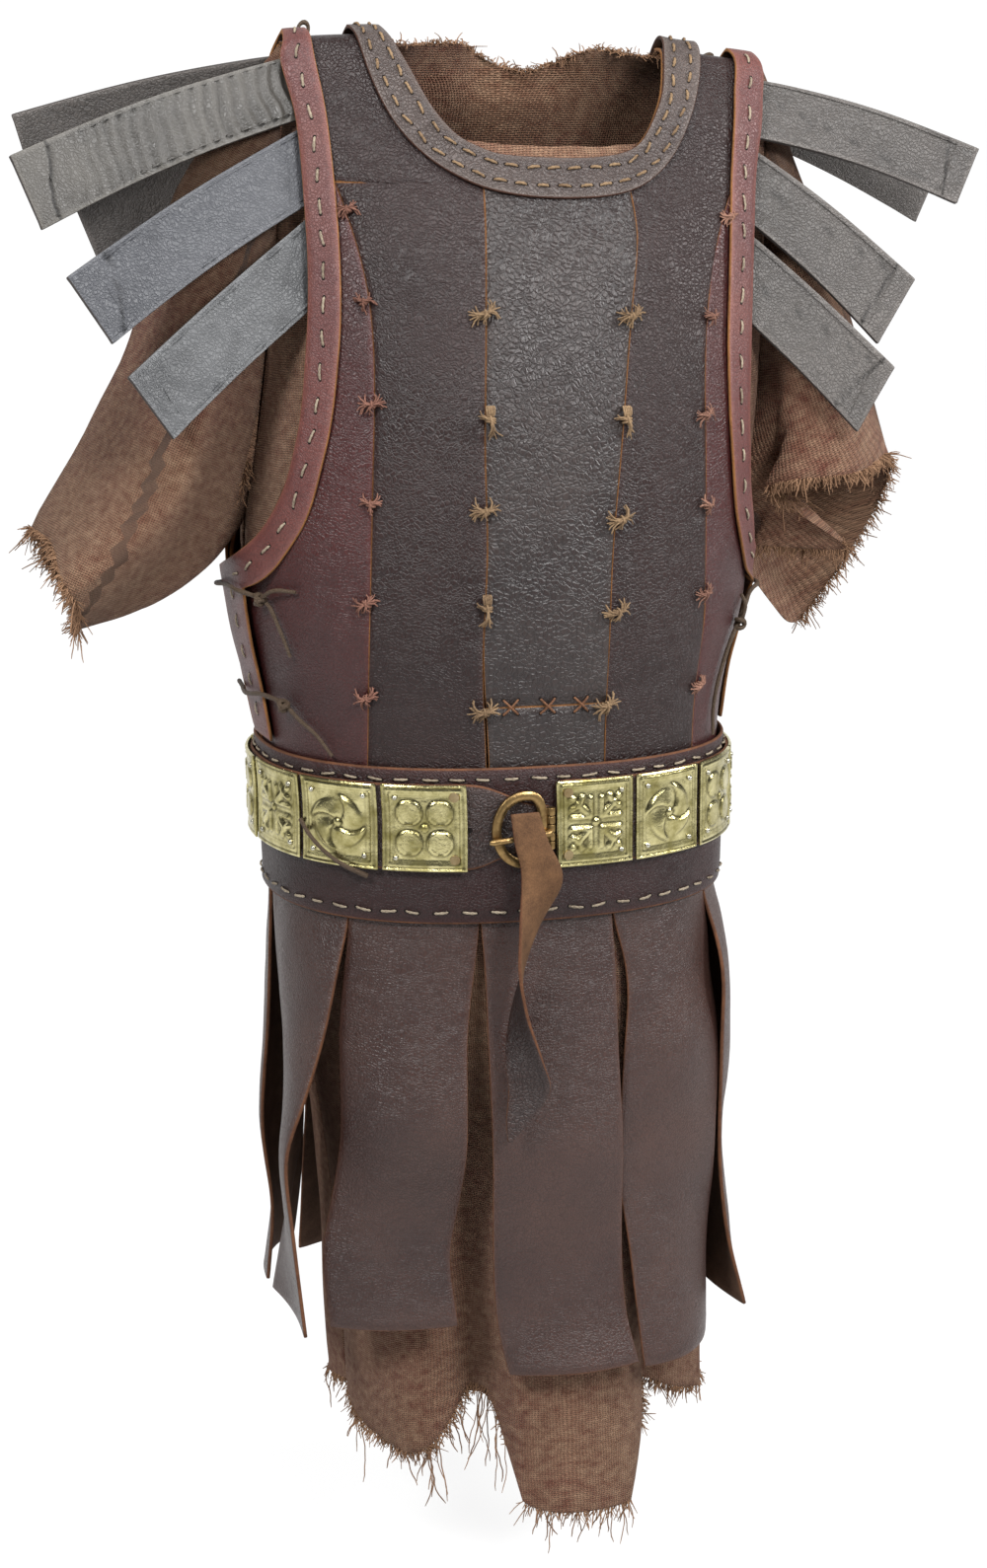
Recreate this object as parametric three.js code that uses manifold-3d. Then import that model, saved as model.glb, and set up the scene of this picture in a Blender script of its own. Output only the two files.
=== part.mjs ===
import * as THREE from "three";
import { mergeVertices } from "three/addons/utils/BufferGeometryUtils.js";
import Module from "manifold-3d";

// A leather subarmalis over a coarse cloth tunic, filled out as if worn, with its belt.
// Millimetres, +Z up. The front faces -Y and the wearer's right arm is at -X.
// The origin is the middle of the shoulder line, where a stand holds the garment.

// Each layer's inner and outer distance from the wearer's outline.
const layers = {
  cloth: { inner: 0, outer: 2 },
  tucked: { inner: 3, outer: 5.2 },
  panel: { inner: 6.2, outer: 9 },
  binding: { inner: 9.4, outer: 11.6 },
  waistband: { inner: 9.4, outer: 11.9 },
  strap: { inner: 12.3, outer: 14.4 },
  plate: { inner: 14.8, outer: 16.1 },
};
const layerGap = 0.65;
const seamGap = 0.9;
const outlinePower = 2.3;
const shoulderRidge = -3;
const shoulderRoll = 0.045;
const rollEnds = 900;
const shoulderTipDrop = 8;

// The outline a general wearer fills, by the distance below the shoulder ridge.
const figureRings = [
  { drop: 0, halfWidth: 175, front: 0, back: 0, lean: 0 },
  { drop: 5, halfWidth: 175, front: 14, back: 14, lean: 0 },
  { drop: 15, halfWidth: 176, front: 25, back: 27, lean: -1 },
  { drop: 40, halfWidth: 178, front: 43, back: 49, lean: -2 },
  { drop: 80, halfWidth: 180, front: 61, back: 77, lean: -5 },
  { drop: 120, halfWidth: 181, front: 81, back: 95, lean: -8 },
  { drop: 180, halfWidth: 182, front: 103, back: 111, lean: -12 },
  { drop: 250, halfWidth: 183, front: 117, back: 117, lean: -18 },
  { drop: 320, halfWidth: 181, front: 123, back: 115, lean: -24 },
  { drop: 380, halfWidth: 177, front: 124, back: 109, lean: -28 },
  { drop: 420, halfWidth: 169, front: 122, back: 105, lean: -29 },
  { drop: 460, halfWidth: 160, front: 120, back: 103, lean: -28 },
  { drop: 520, halfWidth: 157, front: 119, back: 107, lean: -26 },
  { drop: 600, halfWidth: 158, front: 120, back: 112, lean: -26 },
  { drop: 700, halfWidth: 147, front: 113, back: 108, lean: -20 },
  { drop: 850, halfWidth: 139, front: 109, back: 106, lean: -10 },
  { drop: 1100, halfWidth: 136, front: 108, back: 106, lean: -2 },
];

// Where the four front seams run: turn 0 is the front middle and 1 the +X side.
const leftSideSeam = [
  { drop: 70, turn: -0.66 },
  { drop: 94, turn: -0.555 },
  { drop: 129, turn: -0.488 },
  { drop: 171, turn: -0.44 },
  { drop: 237, turn: -0.415 },
  { drop: 358, turn: -0.407 },
  { drop: 392, turn: -0.415 },
  { drop: 430, turn: -0.44 },
  { drop: 470, turn: -0.475 },
  { drop: 566, turn: -0.5 },
];
const rightSideSeam = [
  { drop: 70, turn: 0.56 },
  { drop: 94, turn: 0.497 },
  { drop: 111, turn: 0.465 },
  { drop: 132, turn: 0.415 },
  { drop: 157, turn: 0.385 },
  { drop: 209, turn: 0.366 },
  { drop: 271, turn: 0.385 },
  { drop: 323, turn: 0.413 },
  { drop: 424, turn: 0.472 },
  { drop: 480, turn: 0.485 },
  { drop: 566, turn: 0.51 },
];
const leftMiddleSeam = [
  { drop: -1.5, turn: -0.372 },
  { drop: 5, turn: -0.368 },
  { drop: 20, turn: -0.323 },
  { drop: 42, turn: -0.275 },
  { drop: 63, turn: -0.203 },
  { drop: 75, turn: -0.14 },
  { drop: 108, turn: -0.14 },
  { drop: 179, turn: -0.147 },
  { drop: 267, turn: -0.14 },
  { drop: 318, turn: -0.123 },
  { drop: 411, turn: -0.127 },
  { drop: 566, turn: -0.14 },
];
const rightMiddleSeam = [
  { drop: -1.5, turn: 0.338 },
  { drop: 5, turn: 0.317 },
  { drop: 28, turn: 0.285 },
  { drop: 48, turn: 0.242 },
  { drop: 65, turn: 0.198 },
  { drop: 75, turn: 0.163 },
  { drop: 101, turn: 0.165 },
  { drop: 127, turn: 0.175 },
  { drop: 158, turn: 0.155 },
  { drop: 209, turn: 0.137 },
  { drop: 331, turn: 0.127 },
  { drop: 441, turn: 0.145 },
  { drop: 566, turn: 0.14 },
];

// The neck binding, round from the left shoulder. A drop below zero is on the back.
const neckBindingRows = [
  { innerTurn: -0.368, innerDrop: 5, outerTurn: -0.48, outerDrop: 3 },
  { innerTurn: -0.323, innerDrop: 20, outerTurn: -0.443, outerDrop: 23 },
  { innerTurn: -0.275, innerDrop: 42, outerTurn: -0.385, outerDrop: 49 },
  { innerTurn: -0.203, innerDrop: 63, outerTurn: -0.298, outerDrop: 73 },
  { innerTurn: -0.15, innerDrop: 71, outerTurn: -0.205, outerDrop: 90 },
  { innerTurn: -0.09, innerDrop: 76, outerTurn: -0.105, outerDrop: 100 },
  { innerTurn: 0.01, innerDrop: 77, outerTurn: 0.002, outerDrop: 103 },
  { innerTurn: 0.12, innerDrop: 74, outerTurn: 0.117, outerDrop: 100 },
  { innerTurn: 0.192, innerDrop: 66, outerTurn: 0.2, outerDrop: 92 },
  { innerTurn: 0.242, innerDrop: 48, outerTurn: 0.278, outerDrop: 75 },
  { innerTurn: 0.285, innerDrop: 28, outerTurn: 0.353, outerDrop: 46 },
  { innerTurn: 0.317, innerDrop: 6, outerTurn: 0.417, outerDrop: 18 },
  { innerTurn: 0.338, innerDrop: 0, outerTurn: 0.442, outerDrop: 3 },
  { innerTurn: 0.345, innerDrop: -8, outerTurn: 0.452, outerDrop: -4 },
  { innerTurn: 0.33, innerDrop: -20, outerTurn: 0.42, outerDrop: -28 },
  { innerTurn: 0.25, innerDrop: -32, outerTurn: 0.32, outerDrop: -50 },
  { innerTurn: 0.12, innerDrop: -38, outerTurn: 0.15, outerDrop: -60 },
  { innerTurn: -0.01, innerDrop: -40, outerTurn: -0.01, outerDrop: -62 },
  { innerTurn: -0.14, innerDrop: -38, outerTurn: -0.17, outerDrop: -60 },
  { innerTurn: -0.27, innerDrop: -32, outerTurn: -0.34, outerDrop: -50 },
  { innerTurn: -0.35, innerDrop: -20, outerTurn: -0.45, outerDrop: -26 },
  { innerTurn: -0.375, innerDrop: -5, outerTurn: -0.487, outerDrop: -4 },
];

// Each armhole binding runs from the front side edge, over the shoulder, down the back.
const leftArmholeRows = [
  { outerTurn: 1.035, outerDrop: 474, innerTurn: 0.885, innerDrop: 474 },
  { outerTurn: 1.06, outerDrop: 436, innerTurn: 0.88, innerDrop: 438 },
  { outerTurn: 1.075, outerDrop: 400, innerTurn: 0.868, innerDrop: 402 },
  { outerTurn: 1.085, outerDrop: 364, innerTurn: 0.862, innerDrop: 368 },
  { outerTurn: 0.868, outerDrop: 340, innerTurn: 0.765, innerDrop: 357 },
  { outerTurn: 0.753, outerDrop: 318, innerTurn: 0.68, innerDrop: 338 },
  { outerTurn: 0.685, outerDrop: 293, innerTurn: 0.602, innerDrop: 311 },
  { outerTurn: 0.648, outerDrop: 265, innerTurn: 0.558, innerDrop: 276 },
  { outerTurn: 0.631, outerDrop: 235, innerTurn: 0.532, innerDrop: 240 },
  { outerTurn: 0.628, outerDrop: 190, innerTurn: 0.523, innerDrop: 190 },
  { outerTurn: 0.634, outerDrop: 150, innerTurn: 0.528, innerDrop: 152 },
  { outerTurn: 0.655, outerDrop: 110, innerTurn: 0.543, innerDrop: 112 },
  { outerTurn: 0.69, outerDrop: 71, innerTurn: 0.572, innerDrop: 70 },
  { outerTurn: 0.735, outerDrop: 45, innerTurn: 0.607, innerDrop: 41 },
  { outerTurn: 0.79, outerDrop: 27, innerTurn: 0.64, innerDrop: 22 },
  { outerTurn: 0.86, outerDrop: 8, innerTurn: 0.677, innerDrop: 6 },
  { outerTurn: 0.875, outerDrop: 0, innerTurn: 0.69, innerDrop: 0 },
  { outerTurn: 0.86, outerDrop: -9, innerTurn: 0.683, innerDrop: -8 },
  { outerTurn: 0.79, outerDrop: -32, innerTurn: 0.645, innerDrop: -28 },
  { outerTurn: 0.7, outerDrop: -74, innerTurn: 0.588, innerDrop: -72 },
  { outerTurn: 0.645, outerDrop: -125, innerTurn: 0.54, innerDrop: -125 },
  { outerTurn: 0.62, outerDrop: -190, innerTurn: 0.52, innerDrop: -190 },
  { outerTurn: 0.63, outerDrop: -250, innerTurn: 0.53, innerDrop: -256 },
  { outerTurn: 0.68, outerDrop: -300, innerTurn: 0.58, innerDrop: -314 },
  { outerTurn: 0.77, outerDrop: -334, innerTurn: 0.65, innerDrop: -352 },
  { outerTurn: 0.88, outerDrop: -352, innerTurn: 0.72, innerDrop: -372 },
  { outerTurn: 0.88, outerDrop: -412, innerTurn: 0.73, innerDrop: -412 },
  { outerTurn: 0.88, outerDrop: -474, innerTurn: 0.74, innerDrop: -474 },
];
const rightArmholeRows = [
  { outerTurn: 1.035, outerDrop: 474, innerTurn: 0.885, innerDrop: 474 },
  { outerTurn: 1.06, outerDrop: 436, innerTurn: 0.88, innerDrop: 438 },
  { outerTurn: 1.075, outerDrop: 402, innerTurn: 0.868, innerDrop: 404 },
  { outerTurn: 1.085, outerDrop: 368, innerTurn: 0.852, innerDrop: 372 },
  { outerTurn: 0.855, outerDrop: 346, innerTurn: 0.74, innerDrop: 362 },
  { outerTurn: 0.722, outerDrop: 330, innerTurn: 0.643, innerDrop: 346 },
  { outerTurn: 0.643, outerDrop: 304, innerTurn: 0.565, innerDrop: 320 },
  { outerTurn: 0.59, outerDrop: 272, innerTurn: 0.505, innerDrop: 283 },
  { outerTurn: 0.557, outerDrop: 232, innerTurn: 0.46, innerDrop: 236 },
  { outerTurn: 0.555, outerDrop: 190, innerTurn: 0.447, innerDrop: 190 },
  { outerTurn: 0.57, outerDrop: 150, innerTurn: 0.46, innerDrop: 152 },
  { outerTurn: 0.595, outerDrop: 110, innerTurn: 0.48, innerDrop: 112 },
  { outerTurn: 0.635, outerDrop: 72, innerTurn: 0.508, innerDrop: 74 },
  { outerTurn: 0.675, outerDrop: 48, innerTurn: 0.532, innerDrop: 46 },
  { outerTurn: 0.715, outerDrop: 28, innerTurn: 0.562, innerDrop: 25 },
  { outerTurn: 0.77, outerDrop: 9, innerTurn: 0.6, innerDrop: 8 },
  { outerTurn: 0.79, outerDrop: 0, innerTurn: 0.615, innerDrop: 0 },
  { outerTurn: 0.78, outerDrop: -9, innerTurn: 0.612, innerDrop: -8 },
  { outerTurn: 0.735, outerDrop: -32, innerTurn: 0.59, innerDrop: -28 },
  { outerTurn: 0.67, outerDrop: -74, innerTurn: 0.555, innerDrop: -72 },
  { outerTurn: 0.63, outerDrop: -125, innerTurn: 0.525, innerDrop: -125 },
  { outerTurn: 0.615, outerDrop: -190, innerTurn: 0.515, innerDrop: -190 },
  { outerTurn: 0.63, outerDrop: -250, innerTurn: 0.53, innerDrop: -256 },
  { outerTurn: 0.68, outerDrop: -300, innerTurn: 0.58, innerDrop: -314 },
  { outerTurn: 0.77, outerDrop: -334, innerTurn: 0.65, innerDrop: -352 },
  { outerTurn: 0.88, outerDrop: -352, innerTurn: 0.72, innerDrop: -372 },
  { outerTurn: 0.88, outerDrop: -412, innerTurn: 0.73, innerDrop: -412 },
  { outerTurn: 0.88, outerDrop: -474, innerTurn: 0.74, innerDrop: -474 },
];

const chestRows = [-1.5, 2, 8, 18, 31, 46, 62, 75, 94, 95.5];
const bodyRows = [125, 165, 215, 270, 330, 390, 436, 500, 566];
const sidePanelTop = 96.3;
const centrePanelEnd = 436;
const lowerPieceTop = 437.2;

const waistband = { top: 480, bottom: 589, aroundCells: 36, downCells: 2 };
const belt = { top: 489, bottom: 551, plateHeight: 62, plateWidth: 57.5, platePitch: 60.6 };
const plateCount = 15;
const buckle = { turn: -0.052, drop: 522, halfWide: 20, halfTall: 24, wire: 3.3 };

const group = new THREE.Group();
const wasm = await Module();
wasm.setup();

function lerp(a, b, t) {
  return a + (b - a) * t;
}

function smooth(a, b, x) {
  const t = Math.min(1, Math.max(0, (x - a) / (b - a)));
  return t * t * (3 - 2 * t);
}

function bump(x, centre, reach) {
  const t = Math.abs(x - centre) / reach;
  return t >= 1 ? 0 : Math.pow(1 - t * t, 2);
}

// A smooth line through the table's values that never overshoots them.
function curve(keys, values) {
  const last = keys.length - 1;
  const rise = keys.slice(1).map((key, i) => (values[i + 1] - values[i]) / (key - keys[i]));
  const slope = keys.map((key, i) => {
    if (i === 0) return rise[0];
    if (i === last) return rise[last - 1];
    if (rise[i - 1] * rise[i] <= 0) return 0;
    return (2 * rise[i - 1] * rise[i]) / (rise[i - 1] + rise[i]);
  });
  return (x) => {
    if (x <= keys[0]) return values[0];
    if (x >= keys[last]) return values[last];
    let i = 0;
    while (x > keys[i + 1]) i += 1;
    const step = keys[i + 1] - keys[i];
    const t = (x - keys[i]) / step;
    const u = 1 - t;
    return (
      values[i] * (1 + 2 * t) * u * u +
      values[i + 1] * (3 - 2 * t) * t * t +
      step * slope[i] * t * u * u -
      step * slope[i + 1] * u * t * t
    );
  };
}

function column(rows, key, name) {
  return curve(
    rows.map((row) => row[key]),
    rows.map((row) => row[name]),
  );
}

// The shoulder is round, so places near it are spaced by the root of their drop.
function root(drop) {
  return Math.sign(drop) * Math.sqrt(Math.abs(drop));
}

function byDrop(rows, name) {
  return curve(
    rows.map((row) => root(row.drop)),
    rows.map((row) => row[name]),
  );
}

const halfWidthAt = byDrop(figureRings, "halfWidth");
const frontAt = byDrop(figureRings, "front");
const backAt = byDrop(figureRings, "back");
const leanAt = byDrop(figureRings, "lean");

function power(value) {
  return Math.sign(value) * Math.pow(Math.abs(value), 2 / outlinePower);
}

function outlinePoint(turn, depth) {
  const angle = (turn * Math.PI) / 2;
  const deep = Math.cos(angle) > 0 ? frontAt(depth) : backAt(depth);
  const across = halfWidthAt(depth) * power(Math.sin(angle));
  const drop = depth * depth;
  const roll = shoulderRoll * Math.max(0, 1 - drop / rollEnds);
  const tip = shoulderTipDrop * Math.pow(across / 180, 2) * Math.exp(-drop / 60);
  const height = shoulderRidge - drop - roll * across - tip;
  return new THREE.Vector3(leanAt(depth) + across, -deep * power(Math.cos(angle)), height);
}

// A point on the wearer's outline, moved out by a distance along the outline's own normal.
function bodyPoint(turn, drop, out) {
  const depth = Math.sqrt(Math.max(drop, 0.02));
  const place = outlinePoint(turn, depth);
  const step = 0.002;
  const low = Math.max(depth - 0.01, 0.05);
  const along = outlinePoint(turn + step, depth).sub(outlinePoint(turn - step, depth));
  const down = outlinePoint(turn, depth + 0.01).sub(outlinePoint(turn, low));
  const normal = along.cross(down).normalize();
  const centre = new THREE.Vector3(leanAt(depth), 0, shoulderRidge - drop - 30);
  const facing = Math.sign(normal.dot(place.clone().sub(centre)));
  return place.addScaledVector(normal, facing * out);
}

// The same outline, front and back in one piece: a depth below zero is on the back.
function wrapPoint(turn, depth, out) {
  const drop = depth * depth;
  return depth >= 0 ? bodyPoint(turn, drop, out) : bodyPoint(2 - turn, drop, out);
}

function addSolid(name, positions, triangles) {
  let volume = 0;
  const a = new THREE.Vector3();
  const b = new THREE.Vector3();
  const c = new THREE.Vector3();
  for (let i = 0; i < triangles.length; i += 3) {
    a.fromArray(positions, triangles[i] * 3);
    b.fromArray(positions, triangles[i + 1] * 3);
    c.fromArray(positions, triangles[i + 2] * 3);
    volume += a.dot(b.cross(c));
  }
  if (volume < 0) triangles.reverse();
  const geometry = new THREE.BufferGeometry();
  geometry.setAttribute("position", new THREE.Float32BufferAttribute(positions, 3));
  geometry.setIndex(triangles);
  const mesh = new THREE.Mesh(geometry);
  mesh.name = name;
  group.add(mesh);
  return mesh;
}

function solidFrom(positions, triangles) {
  const flat3 = new THREE.BufferGeometry();
  flat3.setAttribute("position", new THREE.Float32BufferAttribute(positions, 3));
  flat3.setIndex(triangles);
  const welded = mergeVertices(flat3, 1e-4);
  const mesh = new wasm.Mesh({
    numProp: 3,
    vertProperties: welded.getAttribute("position").array,
    triVerts: new Uint32Array(welded.getIndex().array),
  });
  const solid = new wasm.Manifold(mesh);
  if (solid.volume() >= 0) return solid;
  const turned = [...triangles].reverse();
  return solidFrom(positions, turned);
}

// A thick sheet between an inner and an outer skin; skin(u, v, outside) gives its points.
function sheet(name, us, vs, skin, joined = false) {
  const positions = [];
  const triangles = [];
  const wide = joined ? us.length - 1 : us.length;
  const tall = vs.length;
  const at = (side, i, j) => side * wide * tall + j * wide + (i % wide);
  const quad = (p, q, r, s) => triangles.push(p, q, r, p, r, s);
  for (const outside of [0, 1])
    for (let j = 0; j < tall; j += 1)
      for (let i = 0; i < wide; i += 1) positions.push(...skin(us[i], vs[j], outside).toArray());
  for (let j = 0; j < tall - 1; j += 1)
    for (let i = 0; i < us.length - 1; i += 1) {
      quad(at(1, i, j), at(1, i + 1, j), at(1, i + 1, j + 1), at(1, i, j + 1));
      quad(at(0, i, j), at(0, i, j + 1), at(0, i + 1, j + 1), at(0, i + 1, j));
    }
  for (let i = 0; i < us.length - 1; i += 1) {
    quad(at(0, i, 0), at(0, i + 1, 0), at(1, i + 1, 0), at(1, i, 0));
    quad(at(1, i, tall - 1), at(1, i + 1, tall - 1), at(0, i + 1, tall - 1), at(0, i, tall - 1));
  }
  if (!joined)
    for (let j = 0; j < tall - 1; j += 1) {
      quad(at(1, 0, j), at(1, 0, j + 1), at(0, 0, j + 1), at(0, 0, j));
      const end = us.length - 1;
      quad(at(0, end, j), at(0, end, j + 1), at(1, end, j + 1), at(1, end, j));
    }
  return addSolid(name, positions, triangles);
}

function even(cells, from = 0, to = 1) {
  return Array.from({ length: cells + 1 }, (_, i) => lerp(from, to, i / cells));
}

// ---- The cloth tunic ----

const tunicNeckline = [
  { turn: -0.42, drop: 3 },
  { turn: -0.3, drop: 62 },
  { turn: -0.18, drop: 84 },
  { turn: 0, drop: 90 },
  { turn: 0.18, drop: 84 },
  { turn: 0.3, drop: 62 },
  { turn: 0.42, drop: 3 },
];
const tunicArmhole = [
  { drop: 0, turn: 0.9 },
  { drop: 40, turn: 0.84 },
  { drop: 110, turn: 0.83 },
  { drop: 200, turn: 0.86 },
  { drop: 280, turn: 0.9 },
  { drop: 322, turn: 0.985 },
  { drop: 1200, turn: 0.992 },
];
const armholeDepth = 322;
const frontHem = [
  { turn: -1, push: -2, drop: 985 },
  { turn: -0.72, push: 10, drop: 996 },
  { turn: -0.55, push: 12, drop: 1006 },
  { turn: -0.43, push: 4, drop: 998 },
  { turn: -0.3, push: -26, drop: 962 },
  { turn: -0.2, push: -16, drop: 968 },
  { turn: -0.13, push: 12, drop: 1040 },
  { turn: 0.03, push: 20, drop: 1052 },
  { turn: 0.2, push: 18, drop: 1050 },
  { turn: 0.28, push: 2, drop: 996 },
  { turn: 0.38, push: -20, drop: 976 },
  { turn: 0.52, push: -8, drop: 990 },
  { turn: 0.7, push: 6, drop: 1000 },
  { turn: 0.85, push: 2, drop: 996 },
  { turn: 1, push: -2, drop: 990 },
];
const backHem = [
  { turn: -1, push: -2, drop: 985 },
  { turn: -0.75, push: 12, drop: 992 },
  { turn: -0.5, push: -14, drop: 980 },
  { turn: -0.25, push: 14, drop: 1002 },
  { turn: 0, push: -12, drop: 984 },
  { turn: 0.27, push: 15, drop: 1004 },
  { turn: 0.52, push: -14, drop: 984 },
  { turn: 0.78, push: 11, drop: 996 },
  { turn: 1, push: -2, drop: 990 },
];
const collar = [
  { turn: -0.42, rise: 0, fold: 0 },
  { turn: -0.33, rise: 40, fold: 0 },
  { turn: -0.24, rise: 44, fold: 4 },
  { turn: -0.13, rise: 46, fold: -9 },
  { turn: -0.06, rise: 38, fold: 10 },
  { turn: 0.03, rise: 28, fold: 7 },
  { turn: 0.12, rise: 36, fold: 5 },
  { turn: 0.2, rise: 44, fold: -6 },
  { turn: 0.25, rise: 48, fold: 9 },
  { turn: 0.33, rise: 44, fold: 2 },
  { turn: 0.42, rise: 0, fold: 0 },
];
const collarBase = 44;
const tunicRows = [45, 90, 140, 200, 270, 322, 400, 480, 600, 680, 760, 840, 910, 970];
// The front is in two lengths that meet under the panels at the waist.
const waistRow = 8;
const waistGap = 0.6;
const foldsFrom = 590;

const necklineAt = column(tunicNeckline, "turn", "drop");
const armholeAt = byDrop(tunicArmhole, "turn");

// Below the belt the cloth falls into the folds of its hem.
function clothPoint(turn, drop, out, hem) {
  const grown = smooth(foldsFrom, 1000, drop);
  const wave = hem.push(hem.key) * grown;
  return bodyPoint(turn, drop, out + wave);
}

const wholeRows = [0, 0.5, ...tunicRows.map((_, i) => i + 1), tunicRows.length + 1];

function tunicFront(name, lower) {
  const push = column(frontHem, "turn", "push");
  const end = column(frontHem, "turn", "drop");
  const places = [-1, -0.86, -0.7, -0.54, -0.43, -0.3, -0.21, -0.13, -0.04, 0.07, 0.18, 0.27, 0.38, 0.52, 0.68, 0.84, 1];
  const rows = wholeRows.filter((row) => (lower ? row >= waistRow : row <= waistRow));
  sheet(name, places, rows, (place, row, outside) => {
    const whole = Math.min(Math.floor(row), tunicRows.length);
    let drop = row < 1 ? 0 : tunicRows[whole - 1];
    if (lower && row === waistRow) drop += waistGap;
    if (row > tunicRows.length) drop = end(place);
    let turn = place * armholeAt(root(drop));
    if (row < 1) {
      const top = Math.abs(place) < 0.46 ? necklineAt(place * 0.9) : 1;
      drop = Math.pow(lerp(Math.sqrt(top), Math.sqrt(tunicRows[0]), row), 2);
      turn = place * armholeAt(root(drop));
    }
    if (row >= 1 && drop < 100 && Math.abs(place) < 0.46) {
      drop = Math.max(drop, necklineAt(place * 0.9) + row * 6);
    }
    return clothPoint(turn, drop, layers.cloth.inner + outside * 2, { push, key: place });
  });
}

function tunicBack() {
  const push = column(backHem, "turn", "push");
  const end = column(backHem, "turn", "drop");
  const rise = column(collar, "turn", "rise");
  const fold = column(collar, "turn", "fold");
  const places = [-1, -0.84, -0.66, -0.5, -0.4, -0.31, -0.23, -0.13, -0.05, 0.04, 0.13, 0.22, 0.31, 0.4, 0.5, 0.66, 0.84, 1];
  sheet("tunic_back", places, wholeRows, (place, row, outside) => {
    const out = layers.cloth.inner + outside * 2;
    const whole = Math.min(Math.floor(row), tunicRows.length);
    const drop = row > tunicRows.length ? end(place) : tunicRows[Math.max(whole, 1) - 1];
    if (row >= 1) {
      const turn = 2 - place * armholeAt(root(drop));
      return clothPoint(turn, drop, out, { push, key: place });
    }
    const near = Math.pow(lerp(0.8, Math.sqrt(tunicRows[0]), row), 2);
    const over = bodyPoint(2 - place * armholeAt(root(near)), near, out);
    const base = bodyPoint(2 - place * armholeAt(root(collarBase)), collarBase, 0);
    const up = 1 - row;
    const lean = 15 + 15 * smooth(0.1, 0.26, Math.abs(place));
    const upright = base.add(
      new THREE.Vector3(0, out - up * lean + fold(place) * up, rise(place) * up),
    );
    return upright.lerp(over, smooth(0.24, 0.34, Math.abs(place)));
  });
}

// Points round each sleeve ring, from its outer edge over the front and under the arm to the back.
const leftSleeve = {
  corners: [
    { name: "outer", share: 0 },
    { name: "front", share: 0.25 },
    { name: "under", share: 0.5 },
    { name: "back", share: 0.75 },
  ],
  cellsAround: 18,
  rings: [
    { along: 0.3, outer: [-250, 4, -100], front: [-228, -52, -205], under: [-233, 0, -352], back: [-226, 54, -205] },
    { along: 0.65, outer: [-290, 2, -214], front: [-264, -60, -292], under: [-284, -2, -381], back: [-276, 54, -288] },
    { along: 1, outer: [-349, 0, -322], front: [-342, -60, -352], under: [-322, -2, -392], back: [-338, 54, -350] },
  ],
};
// The right cuff is open: its front edge tucks in and folds over before it goes under.
const rightSleeve = {
  corners: [
    { name: "outer", share: 0 },
    { name: "front", share: 0.2 },
    { name: "tuck", share: 0.34 },
    { name: "fold", share: 0.42 },
    { name: "under", share: 0.52 },
    { name: "back", share: 0.74 },
  ],
  cellsAround: 24,
  rings: [
    {
      along: 0.3, outer: [212, 4, -104], front: [190, -52, -172], tuck: [178, -52, -230],
      fold: [176, -34, -280], under: [178, 0, -338], back: [186, 54, -200],
    },
    {
      along: 0.65, outer: [254, 4, -208], front: [214, -64, -232], tuck: [180, -50, -270],
      fold: [184, -26, -312], under: [182, 2, -348], back: [216, 58, -305],
    },
    {
      along: 1, outer: [288, -4, -300], front: [222, -66, -298], tuck: [166, -48, -310],
      fold: [244, -20, -362], under: [180, 4, -362], back: [230, 46, -428],
    },
  ],
};
const sleeveCellsAlong = 6;
const sleeveRipple = { size: 5, waves: 3 };

function sleeve(name, side, cut) {
  const { corners, rings } = cut;
  const armhole = (angle, out) => {
    const round = (angle / (2 * Math.PI)) * 4;
    const half = round <= 2 ? round / 2 : (4 - round) / 2;
    const drop = Math.pow(half, 1.15) * (armholeDepth - 2) + 0.2;
    const turn = Math.min(armholeAt(root(drop)) + 0.012, 0.998) * side;
    const place = bodyPoint(round <= 2 ? turn : 2 - turn, drop, out);
    return place.add(new THREE.Vector3(side * 1.7, 0, -half));
  };
  const shares = [...corners.map((corner) => corner.share), 1];
  const ringPoint = (ring, angle) => {
    const round = (angle / (2 * Math.PI)) % 1;
    const i = shares.findLastIndex((share) => share <= round);
    const loop = new THREE.CatmullRomCurve3(
      corners.map((corner) => new THREE.Vector3(...ring[corner.name])),
      true,
      "centripetal",
    );
    return loop.getPoint((i + (round - shares[i]) / (shares[i + 1] - shares[i])) / corners.length);
  };
  const middle = (angle, along) => {
    const start = armhole(angle, 1);
    const stations = [start, ...rings.map((ring) => ringPoint(ring, angle))];
    const keys = [0, ...rings.map((ring) => ring.along)];
    const at = (axis) => curve(keys, stations.map((point) => point.getComponent(axis)));
    const point = new THREE.Vector3(at(0)(along), at(1)(along), at(2)(along));
    const wave = sleeveRipple.size * along * Math.sin(sleeveRipple.waves * angle + side * along * 4);
    return point.add(new THREE.Vector3(wave * side * Math.cos(angle), -wave * Math.sin(angle), 0));
  };
  const angles = even(cut.cellsAround, 0, 2 * Math.PI);
  sheet(
    name,
    angles,
    even(sleeveCellsAlong),
    (angle, along, outside) => {
      const point = middle(angle, along);
      const near = 0.02;
      const round = middle(angle + near, along).sub(middle(angle - near + (angle < near ? 2 * Math.PI : 0), along));
      const low = Math.max(along - near, 0);
      const high = Math.min(along + near, 1);
      const down = middle(angle, high).sub(middle(angle, low));
      const normal = round.cross(down).normalize();
      const hub = new THREE.Vector3();
      for (const quarter of [0, 1, 2, 3]) hub.addScaledVector(middle((quarter * Math.PI) / 2, along), 0.25);
      const facing = Math.sign(normal.dot(point.clone().sub(hub)));
      return point.addScaledVector(normal, facing * (outside ? 1 : -1));
    },
    true,
  );
}

// ---- The leather panels ----

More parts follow.
